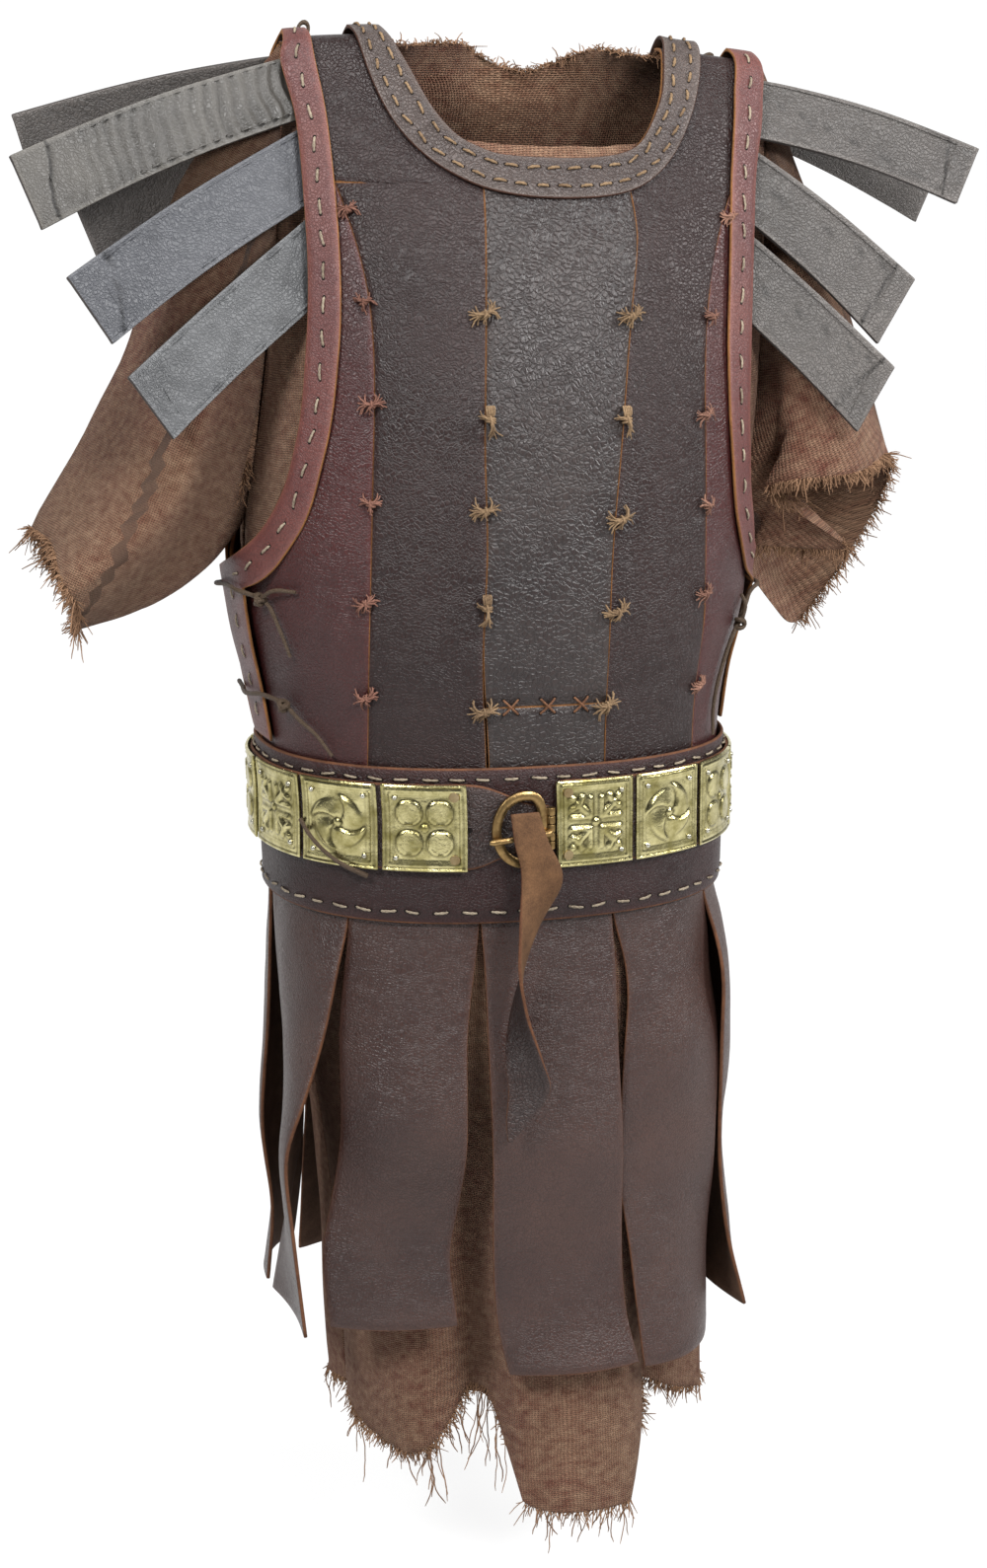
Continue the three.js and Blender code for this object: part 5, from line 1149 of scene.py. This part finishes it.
# Leather thongs: each lies along the same corners as its solid
thongs = {
    "lace_left_upper": {"thick": 0.0017, "taper": 0.75, "knot": (-0.783, 369), "end": (-0.635, 362),
                        "corners": (
        (-0.2142, 0.0329, -0.3710), (-0.2245, 0.0163, -0.3690), (-0.2225, -0.0095, -0.3657),
        (-0.2217, -0.0382, -0.3648), (-0.2055, -0.0575, -0.3710), (-0.1986, -0.0671, -0.3882),
        (-0.1924, -0.0723, -0.4073))},
    "lace_left_lower": {"thick": 0.0017, "taper": 0.75, "knot": (-0.738, 438), "end": None, "corners": (
        (-0.2060, 0.0325, -0.4442), (-0.2077, 0.0150, -0.4438), (-0.2106, -0.0120, -0.4435),
        (-0.2047, -0.0382, -0.4397), (-0.1940, -0.0599, -0.4432), (-0.1862, -0.0667, -0.4523),
        (-0.1763, -0.0780, -0.4621), (-0.1676, -0.0872, -0.4754))},
    "lace_right": {"thick": 0.0017, "taper": 0.75, "knot": (0.66, 392), "end": (0.65, 372), "corners": (
        (0.1588, 0.0330, -0.3854), (0.1688, 0.0163, -0.3844), (0.1670, -0.0095, -0.3811),
        (0.1658, -0.0381, -0.3803), (0.1524, -0.0562, -0.3831), (0.1419, -0.0695, -0.3951),
        (0.1269, -0.0807, -0.4169), (0.1171, -0.0846, -0.4443), (0.1145, -0.0842, -0.4629),
        (0.1142, -0.0857, -0.4801))},
    "lace_left_end": {"thick": 0.0015, "taper": 1.35, "knot": None, "end": None, "corners": (
        (-0.1873, -0.0718, -0.5223), (-0.1827, -0.0814, -0.5322), (-0.1743, -0.0912, -0.5423),
        (-0.1645, -0.1015, -0.5494), (-0.1483, -0.1056, -0.5577))},
}
# The knot at a thong's root: each wrap's tilt, width and place, and its height off the leather, in metres
thongKnot = {"wraps": ((0.35, 0.0042, -0.0014), (-0.5, 0.0040, 0.0018), (1.3, 0.0036, 0.0002)),
             "low": 0.0010, "step": 0.0004, "tall": 0.0030, "thick": 0.00155}
sides = Surface(["panel_side_left", "panel_side_right", "armhole_binding_left", "armhole_binding_right"])
for name, look in thongs.items():
    path = smoothPath(look["corners"], 6)
    lines = bpy.data.curves.new(name + "_thong", "CURVE")
    lines.dimensions = "3D"
    lines.bevel_depth = look["thick"]
    lines.bevel_resolution = 3
    lines.use_fill_caps = True
    lines.materials.append(finish["thong"])
    line = lines.splines.new("POLY")
    line.points.add(len(path) - 1)
    for i, place in enumerate(path):
        share = i / (len(path) - 1)
        line.points[i].co = (*place, 1)
        taper = 1 + (look["taper"] - 1) * max(0, share - 0.6) / 0.4
        line.points[i].radius = taper * (0.97 + 0.06 * math.sin(i * 1.7))
    line.use_smooth = True
    thong = putIn(name + "_thong", lines)
    if look["knot"]:
        place, _ = sides.at(*look["knot"])
        near = min(path, key=lambda p: (p - place).length)
        outward = outwardAt(*look["knot"])
        local = knotFrame(near, outward)
        strands = []
        for k, (tilt, wide, y) in enumerate(thongKnot["wraps"]):
            height = thongKnot["low"] + thongKnot["step"] * k
            ring(local, strands, 0, y, height, wide, thongKnot["tall"], tilt, thongKnot["thick"], 12)
        if look["end"]:
            tip, _ = sides.at(*look["end"])
            tip = tip + outwardAt(*look["end"]) * 0.0035
            middle = near.lerp(tip, 0.5) + outward * 0.004 + Vector((0, 0, 0.004))
            strands.append((smoothPath((near + outward * 0.002, middle, tip), 5),
                            [0.0015] * 8 + [0.0013] * 3))
        strandPiece(name + "_knot", strands, "thong", 2)
    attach(thong, "root")
    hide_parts(name)
print("thongs laid")

# The belt's brass plates, spaced along the belt from the front middle
plates = {"count": 15, "wide": 57.5, "tall": 62, "pitch": 60.6, "top": 489, "drop": 520, "inner": 14.8,
          "outer": 16.1,
          "firstTurn": 0.012, "cells": 56, "thick": 1.5, "hollowReach": 1.7, "hollowGain": 2.4}
rivets = {"inset": 9.2, "flatInset": 8.4, "sunk": 0.3, "dome": 0.0021, "flat": (0.0037, 0.0034),
          "flatTall": 0.0012}
# How high the marks stand in millimetres, and the frame lines: place from the edge, half width, strength
plateMarks = {"ridge": 0.9, "petal": 1.7, "blade": 2.0, "leaf": 1.7, "boss": 1.9, "bossSize": 3.0,
              "dish": 0.35,
              "frames": ((1.0, 1.1, 1), (4.0, 1.0, 0.85), (6.2, 0.8, 0.35))}

beltTurns = [-2 + 4 * i / 400 for i in range(401)]
beltLengths = [0.0]
for a, b in zip(beltTurns, beltTurns[1:]):
    step = bodyPoint(b, plates["drop"], plates["inner"]) - bodyPoint(a, plates["drop"], plates["inner"])
    beltLengths.append(beltLengths[-1] + step.length / mm)
turnAtLength = smoothLine(beltLengths, beltTurns)
lengthAtTurn = smoothLine(beltTurns, beltLengths)


def soft(value, low, high):
    t = min(1, max(0, (value - low) / (high - low)))
    return t * t * (3 - 2 * t)


def bar(x, y, ax, ay, bx, by):
    # Distance to a short line
    dx, dy = bx - ax, by - ay
    t = min(1, max(0, ((x - ax) * dx + (y - ay) * dy) / (dx * dx + dy * dy)))
    return math.hypot(x - ax - t * dx, y - ay - t * dy)


def quatrefoil(x, y):
    # Four plump petals with a raised rim each
    px, py = abs(x) - 10.4, abs(y) - 10.9
    far = (abs(px / 8.6) ** 2.5 + abs(py / 9.0) ** 2.5) ** 0.4
    tip = soft(abs(x) + abs(y), 4.5, 8.5)
    body = soft(1 - far, -0.02, 0.16) * tip
    rim = max(0, 1 - abs(far - 0.9) / 0.11) * tip
    return plateMarks["petal"] * (body * (0.72 + 0.12 * (1 - far * far)) + 0.3 * rim)


def whirl(x, y):
    # Four blades that turn about the boss, each steep on one side
    far = math.hypot(x, y)
    angle = (math.atan2(y, x) / (2 * math.pi) * 4 + far * 0.035 + 0.3) % 1
    steep = soft(angle, 0.0, 0.12) * (1 - 0.9 * soft(angle, 0.12, 0.98))
    reach = soft(far, 3.0, 6.5) * (1 - soft(far, 15.5 + 3.5 * (1 - angle), 18.5 + 3.5 * (1 - angle)))
    return plateMarks["blade"] * steep * reach


def cross(x, y):
    # A plain cross sunk between four lobed leaves
    px, py = abs(x), abs(y)
    leaf = min(bar(px, py, 4.2, 4.2, 4.2, 17.5) - 1.7, bar(px, py, 4.2, 4.2, 18.0, 4.2) - 1.7,
               bar(px, py, 5, 5, 13.5, 13.5) - 2.6, bar(px, py, 15.5, 11.5, 17.5, 10.5) - 2.0,
               bar(px, py, 11.5, 15.5, 10.5, 18.5) - 2.0, bar(px, py, 17.0, 17.5, 17.6, 18.0) - 2.0)
    return plateMarks["leaf"] * soft(-leaf, -0.9, 1.5)


designs = {"cross": cross, "whirl": whirl, "quatrefoil": quatrefoil}
designOrder = ("cross", "whirl", "quatrefoil")


def plateHeight(design, x, y):
    # x and y in millimetres from the plate's middle
    edge = min(plates["wide"] / 2 - abs(x), plates["tall"] / 2 - abs(y))
    ridge = max(max(0, 1 - abs(edge - at) / wide) * high for at, wide, high in plateMarks["frames"])
    boss = plateMarks["boss"] * math.sqrt(max(0, 1 - (math.hypot(x, y) / plateMarks["bossSize"]) ** 2))
    dish = plateMarks["dish"] * soft(edge, 7, 14)
    return max(plateMarks["ridge"] * math.sqrt(ridge), designs[design](x, y) * soft(edge, 5.5, 8) + dish,
               boss)


plateGrids = {}
for design in designOrder:
    cells = plates["cells"]
    grid = []
    for j in range(cells + 1):
        for i in range(cells + 1):
            x = (i / cells - 0.5) * plates["wide"]
            y = (j / cells - 0.5) * plates["tall"]
            height = plateHeight(design, x, y)
            reach = plates["hollowReach"]
            about = [plateHeight(design, x + dx, y + dy) for dx, dy in
                     ((reach, 0), (-reach, 0), (0, reach), (0, -reach))]
            grid.append((height, min(1, max(0, (sum(about) / 4 - height) * plates["hollowGain"]))))
    plateGrids[design] = grid


def plateLift(node, turn, drop):
    # How far this plate stands off the outline, read at its inner top corner
    corner = bodyPoint(turn, drop, plates["inner"])
    normal = outwardAt(turn, drop)
    lifts = []
    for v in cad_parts[node].data.vertices:
        reach = v.co - corner
        out = reach.dot(normal)
        if (reach - normal * out).length < 0.0006:
            lifts.append(out / mm)
    return min(lifts) if lifts else 0.8


for index in range(plates["count"]):
    node = "belt_plate_%02d" % (index + 1)
    design = designOrder[index % 3]
    start = lengthAtTurn(plates["firstTurn"]) + index * plates["pitch"]
    around = beltLengths[-1]
    turnAt = lambda u: turnAtLength((start + u * plates["wide"]) % around)
    lift = plateLift(node, turnAt(0), plates["top"])
    cells = plates["cells"]
    bm = bmesh.new()
    shade = bm.verts.layers.float.new("hollow")
    bmesh.ops.create_grid(bm, x_segments=cells, y_segments=cells, size=0.5)
    turns = [turnAt(i / cells) for i in range(cells + 1)]
    for v in bm.verts:
        i, j = round((v.co.x + 0.5) * cells), round((0.5 - v.co.y) * cells)
        height, hollow = plateGrids[design][j * (cells + 1) + i]
        v[shade] = hollow
        v.co = bodyPoint(turns[i], plates["top"] + plates["tall"] * j / cells,
                         plates["outer"] + lift + height)
    rim = [e for e in bm.edges if e.is_boundary]
    inner = bmesh.ops.extrude_edge_only(bm, edges=rim)
    for v in inner["geom"]:
        if isinstance(v, bmesh.types.BMVert):
            v.co -= outwardAt(turnOf(v.co), plates["drop"]) * plates["thick"] * mm
    bmesh.ops.contextual_create(bm, geom=[e for e in bm.edges if e.is_boundary])
    bmesh.ops.recalc_face_normals(bm, faces=bm.faces)
    mesh = meshFrom(bm, node + "_struck")
    piece = addPiece(node + "_struck", mesh, ["brass"])
    mesh.set_sharp_from_angle(angle=0.9)
    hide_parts(node)

    # Rivets: domed, but flat heads towards the gap at the front
    spots = []
    for cornerX in (-1, 1):
        for cornerY in (-1, 1):
            flatHead = (index == 0 and cornerX < 0) or (index == plates["count"] - 1 and cornerX > 0)
            inset = rivets["flatInset"] if flatHead else rivets["inset"]
            u = 0.5 + cornerX * (0.5 - inset / plates["wide"])
            drop = plates["drop"] + cornerY * (plates["tall"] / 2 - inset)
            place = bodyPoint(turnAt(u), drop, plates["outer"] + lift + rivets["sunk"])
            spots.append((flatHead, place, outwardAt(turnAt(u), drop)))
    for kind, material in ((True, "copper"), (False, "steel")):
        bm = bmesh.new()
        for flatHead, place, normal in spots:
            if flatHead != kind:
                continue
            turned = Matrix.Translation(place) @ normal.to_track_quat("Z", "Y").to_matrix().to_4x4()
            if flatHead:
                low, high = rivets["flat"]
                bmesh.ops.create_cone(bm, cap_ends=True, segments=20, radius1=low, radius2=high,
                                      depth=rivets["flatTall"], matrix=turned)
            else:
                bmesh.ops.create_uvsphere(bm, u_segments=14, v_segments=8, radius=rivets["dome"],
                                          matrix=turned)
        if not bm.verts:
            bm.free()
            continue
        mesh = meshFrom(bm, node + "_rivets")
        addPiece("%s_%s_rivets" % (node, material), mesh, [material], not kind)
print("belt plates struck")

# The buckle: a flat D ring, a hinge of five knuckles and a tongue across the ring
buckle = {"turn": -0.052, "drop": 522, "out": 19.3, "wide": 20.0, "right": 13.0, "tall": 24.0,
          "hingeAt": 18.6, "knuckles": 5, "knuckle": 3.1, "hingeTall": 30.0, "bandWide": 3.5,
          "bandTall": 2.3,
          "bandSunk": 0.6, "armAt": 15.6, "armLong": 6.5, "armTall": 2.6, "round": 0.0005}
origin = bodyPoint(buckle["turn"], buckle["drop"], buckle["out"])
normal = outwardAt(buckle["turn"], buckle["drop"])
across = Vector((0, 0, 1)).cross(normal).normalized()
across = across if across.x > 0 else -across
rise = normal.cross(across).normalized()
rise = rise if rise.z > 0 else -rise
local = lambda x, y, z: origin + (across * x + rise * y + normal * z) * mm


def buckleRound(steps):
    # The D of the ring: round on the tongue's side, squarer at the hinge
    line = []
    for k in range(steps):
        a = 2 * math.pi * k / steps
        c, s = math.cos(a), math.sin(a)
        power = 0.62 if c > 0 else 1.0
        x = math.copysign(abs(c) ** power, c) * (buckle["right"] if c > 0 else buckle["wide"])
        y = math.copysign(abs(s) ** (0.72 if c > 0 else 1.0), s) * buckle["tall"]
        line.append((x, y))
    return line


bm = bmesh.new()
ringLine = buckleRound(72)
section = [(math.cos(a), math.sin(a)) for a in (2 * math.pi * k / 12 for k in range(12))]
loops = []
for k, (x, y) in enumerate(ringLine):
    before, after = ringLine[k - 1], ringLine[(k + 1) % len(ringLine)]
    side = Vector((after[1] - before[1], before[0] - after[0])).normalized()
    loop = []
    for c, s in section:
        c = math.copysign(abs(c) ** 0.75, c)
        s = math.copysign(abs(s) ** 0.75, s)
        spread = c * buckle["bandWide"]
        height = s * buckle["bandTall"] - buckle["bandSunk"]
        loop.append(bm.verts.new(local(x + side.x * spread, y + side.y * spread, height)))
    loops.append([bm.edges.new((loop[i], loop[(i + 1) % 12])) for i in range(12)])
for first, second in zip(loops, loops[1:] + loops[:1]):
    bmesh.ops.bridge_loops(bm, edges=first + second)
turned = Matrix(((across.x, normal.x, rise.x), (across.y, normal.y, rise.y),
                 (across.z, normal.z, rise.z))).to_4x4()
size = buckle["hingeTall"] / buckle["knuckles"]
for k in range(buckle["knuckles"]):
    y = (k - (buckle["knuckles"] - 1) / 2) * size
    at = Matrix.Translation(local(buckle["hingeAt"], y, -0.2)) @ turned
    made = bmesh.ops.create_cone(bm, cap_ends=True, segments=18, radius1=buckle["knuckle"] * mm,
                                 radius2=buckle["knuckle"] * mm, depth=(size - 0.5) * mm, matrix=at)
    ends = {e for v in made["verts"] for e in v.link_edges if e.calc_face_angle(0) > 1}
    bmesh.ops.bevel(bm, geom=list(ends), offset=buckle["round"], segments=2, profile=0.5, affect="EDGES",
                    material=-1)
    if k % 2 == 0:
        # Every other knuckle reaches back to the ring's straight side
        block = Matrix.Diagonal((buckle["armLong"] * mm, buckle["armTall"] * mm, (size - 1.2) * mm, 1))
        at = Matrix.Translation(local(buckle["armAt"], y, -0.4)) @ turned @ block
        made = bmesh.ops.create_cube(bm, size=1, matrix=at)
        ends = {e for v in made["verts"] for e in v.link_edges}
        bmesh.ops.bevel(bm, geom=list(ends), offset=buckle["round"], segments=2, profile=0.5,
                        affect="EDGES",
                        material=-1)
bmesh.ops.recalc_face_normals(bm, faces=bm.faces)
mesh = meshFrom(bm, "buckle_ring_cast")
ringPiece = addPiece("buckle_ring_cast", mesh, ["bronze"])
mesh.set_sharp_from_angle(angle=0.7)
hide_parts("buckle_ring")
# The tongue from the hinge to its tip: across, up and out in millimetres, and how thick it is there in metres
tongueShape = (
    (18.0, -2.2, 1.5, 0.0024), (15.5, -2.6, 4.6, 0.0026), (10, -3.2, 5.0, 0.0023),
    (0, -4.2, 5.2, 0.0021), (-10, -5.2, 5.2, 0.0021), (-18, -6.0, 5.0, 0.0023),
    (-23.2, -6.6, 4.2, 0.0025), (-25.4, -6.9, 3.2, 0.0016),
)
tongueLine = [local(x, y, z) for x, y, z, _ in tongueShape]
tongue = strandPiece("buckle_tongue_cast", [(tongueLine, [step[3] for step in tongueShape])],
                     "bronze", 4)
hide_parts("buckle_tongue")
print("buckle made")

# Raw cloth edges: short curled ends all along, and long loose threads at the hem
frays = {"lowest": -1.088, "apart": 0.0016, "short": (0.0025, 0.0075), "kept": 1.0, "longer": 0.12,
         "thick": 0.00042, "longThick": 0.00048, "step": 0.005, "waver": 0.34, "settle": 0.86}


def wild():
    return random.uniform(-1, 1)


def rimFaces(piece, pick):
    # The four-sided faces of a cut edge that are picked: corners, length, its direction and normal
    mesh = piece.data
    made = []
    for polygon in mesh.polygons:
        whole = polygon.material_index == cutEdge and len(polygon.vertices) == 4
        if whole and pick(polygon.center, polygon.normal):
            corners = [mesh.vertices[i].co for i in polygon.vertices]
            sides = [(corners[1] - corners[0]).length, (corners[2] - corners[1]).length]
            made.append((corners, max(sides), sides[0] > sides[1], polygon.normal.copy()))
    return made


def rimPlace(corners, alongFirst, share, deep):
    a, b, c, d = corners
    if alongFirst:
        return a.lerp(b, share).lerp(d.lerp(c, share), deep)
    return a.lerp(d, share).lerp(b.lerp(c, share), deep)


def shortFray(faces, strands, scale):
    # Short ends that stand off the edge and curl down
    for corners, long, alongFirst, normal in faces:
        count = max(1, round(long / frays["apart"]))
        for k in range(count):
            if random.random() > frays["kept"]:
                continue
            start = rimPlace(corners, alongFirst, (k + random.random()) / count, random.random())
            reach = random.uniform(*frays["short"]) * scale
            if random.random() < frays["longer"]:
                reach *= 1.8
            aim = (normal + Vector((wild(), wild(), wild())) * 0.75).normalized()
            curl = Vector((wild(), wild(), random.uniform(-1, 0.4))) * 0.6
            line = [start - normal * 0.0008]
            for share in (0.35, 0.7, 1.0):
                sag = Vector((0, 0, -1)) * reach * 0.25 * share * share
                line.append(start + (aim * share + curl * share * share) * reach + sag)
            thick = frays["thick"] * random.uniform(0.8, 1.3)
            strands.append((line, [thick, thick, thick * 0.9, thick * 0.6]))


def longThread(start, reach, strands):
    # A thread that hangs, wavers and curls at its end
    reach = min(reach, start.z - frays["lowest"])
    line = [start + Vector((0, 0, 0.001))]
    place = start.copy()
    drift = Vector((wild(), wild(), 0)) * 0.35
    steps = max(6, int(reach / frays["step"]))
    for _ in range(steps):
        drift += Vector((wild(), wild(), 0)) * frays["waver"]
        drift *= frays["settle"]
        place = place + Vector((drift.x, drift.y, -1)).normalized() * reach / steps
        line.append(place.copy())
    strands.append((line, [frays["longThick"]] * (len(line) - 1) + [frays["longThick"] * 0.6]))


def threadFrom(face, low, high, strands, reach=1.0):
    corners, _, alongFirst, _ = face
    place = rimPlace(corners, alongFirst, random.random(), random.random())
    longThread(place, reach * random.uniform(low, high), strands)


def hemRim(place, normal):
    return normal.z < -0.4 and place.z < -0.9


def hemAndNeckRim(place, normal):
    return hemRim(place, normal) or (normal.z > 0.25 and place.z > -0.03 and abs(place.x) < 0.1)


def cuffRim(toward):
    def picked(place, normal):
        faces = normal.x * toward * 0.6 - normal.z * 0.5 > 0.1
        return faces and (place.z < -0.28 or abs(place.x) > 0.27)

    return picked


# Tangles of long threads below the front hem: place across, how many, and how long, in metres
tangles = ((-0.158, 5, 0.05), (-0.122, 4, 0.03), (-0.096, 9, 0.052), (-0.075, 7, 0.045), (-0.055, 8, 0.062),
           (-0.045, 5, 0.07), (-0.02, 6, 0.03), (0.01, 5, 0.03), (0.032, 6, 0.035), (0.045, 5, 0.03))
# Each frayed piece: which faces of its rim, how long the short ends are, and its other long threads
frayed = {
    "tunic_front_lower": {"rim": hemRim, "scale": 1.0, "threads": None},
    "tunic_back": {"rim": hemAndNeckRim, "scale": 0.9, "threads": (26, 0.015, 0.04)},
    "tunic_sleeve_left": {"rim": cuffRim(-1), "scale": 1.0, "threads": (5, 0.01, 0.028)},
    "tunic_sleeve_right": {"rim": cuffRim(1), "scale": 1.0, "threads": (5, 0.01, 0.028)},
}
for name, look in frayed.items():
    strands = []
    faces = rimFaces(pieces[name], look["rim"])
    shortFray(faces, strands, look["scale"])
    if name == "tunic_front_lower":
        hem = [face for face in faces if face[3].z < 0]
        for x, count, reach in tangles:
            for _ in range(count):
                face = min(hem, key=lambda f: abs(f[0][0].x - x - random.uniform(-0.008, 0.008)))
                threadFrom(face, 0.45, 1.1, strands, reach)
    else:
        low = [face for face in faces if face[3].z < 0]
        if name != "tunic_back":
            low = sorted(faces, key=lambda f: f[0][0].z)[:max(3, len(faces) // 4)]
        count, least, most = look["threads"]
        for _ in range(count):
            threadFrom(random.choice(low), least, most, strands)
    strandPiece(name + "_fray", strands, "frayThread")
print("edges frayed")
# The studio: a pale floor that sweeps up to a wall, soft lamps
studio = {"floor": -1.13, "wall": 3.4, "top": 5.4, "front": -4.0, "width": 14.0, "bend": 1.2, "glow": 0.85,
          "sky": 0.08, "seenSky": 0.85}
bm = bmesh.new()
low, back, half, bend = studio["floor"], studio["wall"], studio["width"] / 2, studio["bend"]
profile = [(studio["front"], low), (back - bend, low)]
profile += [(back - bend + bend * math.sin(a), low + bend - bend * math.cos(a))
            for a in (math.pi / 16 * i for i in range(1, 8))]
profile += [(back, low + bend), (back, studio["top"])]
line = [bm.verts.new((-half, y, z)) for y, z in profile]
edges = [bm.edges.new(pair) for pair in zip(line, line[1:])]
swept = bmesh.ops.extrude_edge_only(bm, edges=edges)
moved = [v for v in swept["geom"] if isinstance(v, bmesh.types.BMVert)]
bmesh.ops.translate(bm, verts=moved, vec=(studio["width"], 0, 0))
bmesh.ops.recalc_face_normals(bm, faces=bm.faces)
if min(bm.faces, key=lambda f: f.calc_center_median().z).normal.z < 0:
    bmesh.ops.reverse_faces(bm, faces=bm.faces)
for f in bm.faces:
    f.smooth = True
mesh = meshFrom(bm, "backdrop")
backdrop = putIn("backdrop", mesh)
material, n, surface = newMaterial("backdrop")
surface.inputs["Base Color"].default_value = (0.2, 0.2, 0.2, 1)
surface.inputs["Roughness"].default_value = 0.9
surface.inputs["Specular IOR Level"].default_value = 0.1
surface.inputs["Emission Color"].default_value = (1, 1, 1, 1)
surface.inputs["Emission Strength"].default_value = studio["glow"]
# Seen from behind the backdrop is clear, so that it never hides the garment
clear = n.add("ShaderNodeBsdfTransparent").outputs[0]
shown = n.add("ShaderNodeMixShader",
              {0: n.add("ShaderNodeNewGeometry").outputs["Backfacing"], 1: surface.outputs[0], 2: clear})
n.put(next(node for node in material.node_tree.nodes if node.type == "OUTPUT_MATERIAL").inputs[0],
      shown.outputs[0])
mesh.materials.append(material)

lamps = {
    "key": {"place": (-1.9, -1.5, 1.5), "aim": (-0.1, 0, -0.3), "size": 0.8, "power": 74},
    "front": {"place": (0.5, -1.8, 0.75), "aim": (0, 0, -0.25), "size": 0.6, "power": 34},
    "right": {"place": (2.1, -0.9, 0.7), "aim": (0.1, 0, -0.4), "size": 0.8, "power": 46},
    "top": {"place": (0.0, -0.9, 2.0), "aim": (0, 0, -0.3), "size": 1.0, "power": 36},
}
for name, lamp in lamps.items():
    light = bpy.data.lights.new(name, "AREA")
    light.energy = lamp["power"]
    light.shape = "DISK"
    light.size = lamp["size"]
    lit = putIn(name, light)
    lit.location = lamp["place"]
    lit.rotation_euler = (Vector(lamp["aim"]) - lit.location).to_track_quat("-Z", "Y").to_euler()
world = bpy.context.scene.world or bpy.data.worlds.new("world")
bpy.context.scene.world = world
world.use_nodes = True
sky = next(node for node in world.node_tree.nodes if node.type == "BACKGROUND")
sky.inputs[0].default_value = (0.95, 0.97, 1.0, 1)
skyNodes = Nodes(world.node_tree)
seen = skyNodes.add("ShaderNodeLightPath").outputs["Is Camera Ray"]
skyNodes.put(sky.inputs[1], skyNodes.span(seen, 0.0, 1.0, studio["sky"], studio["seenSky"]))
bpy.context.scene.view_settings.view_transform = "Standard"
print("studio set")
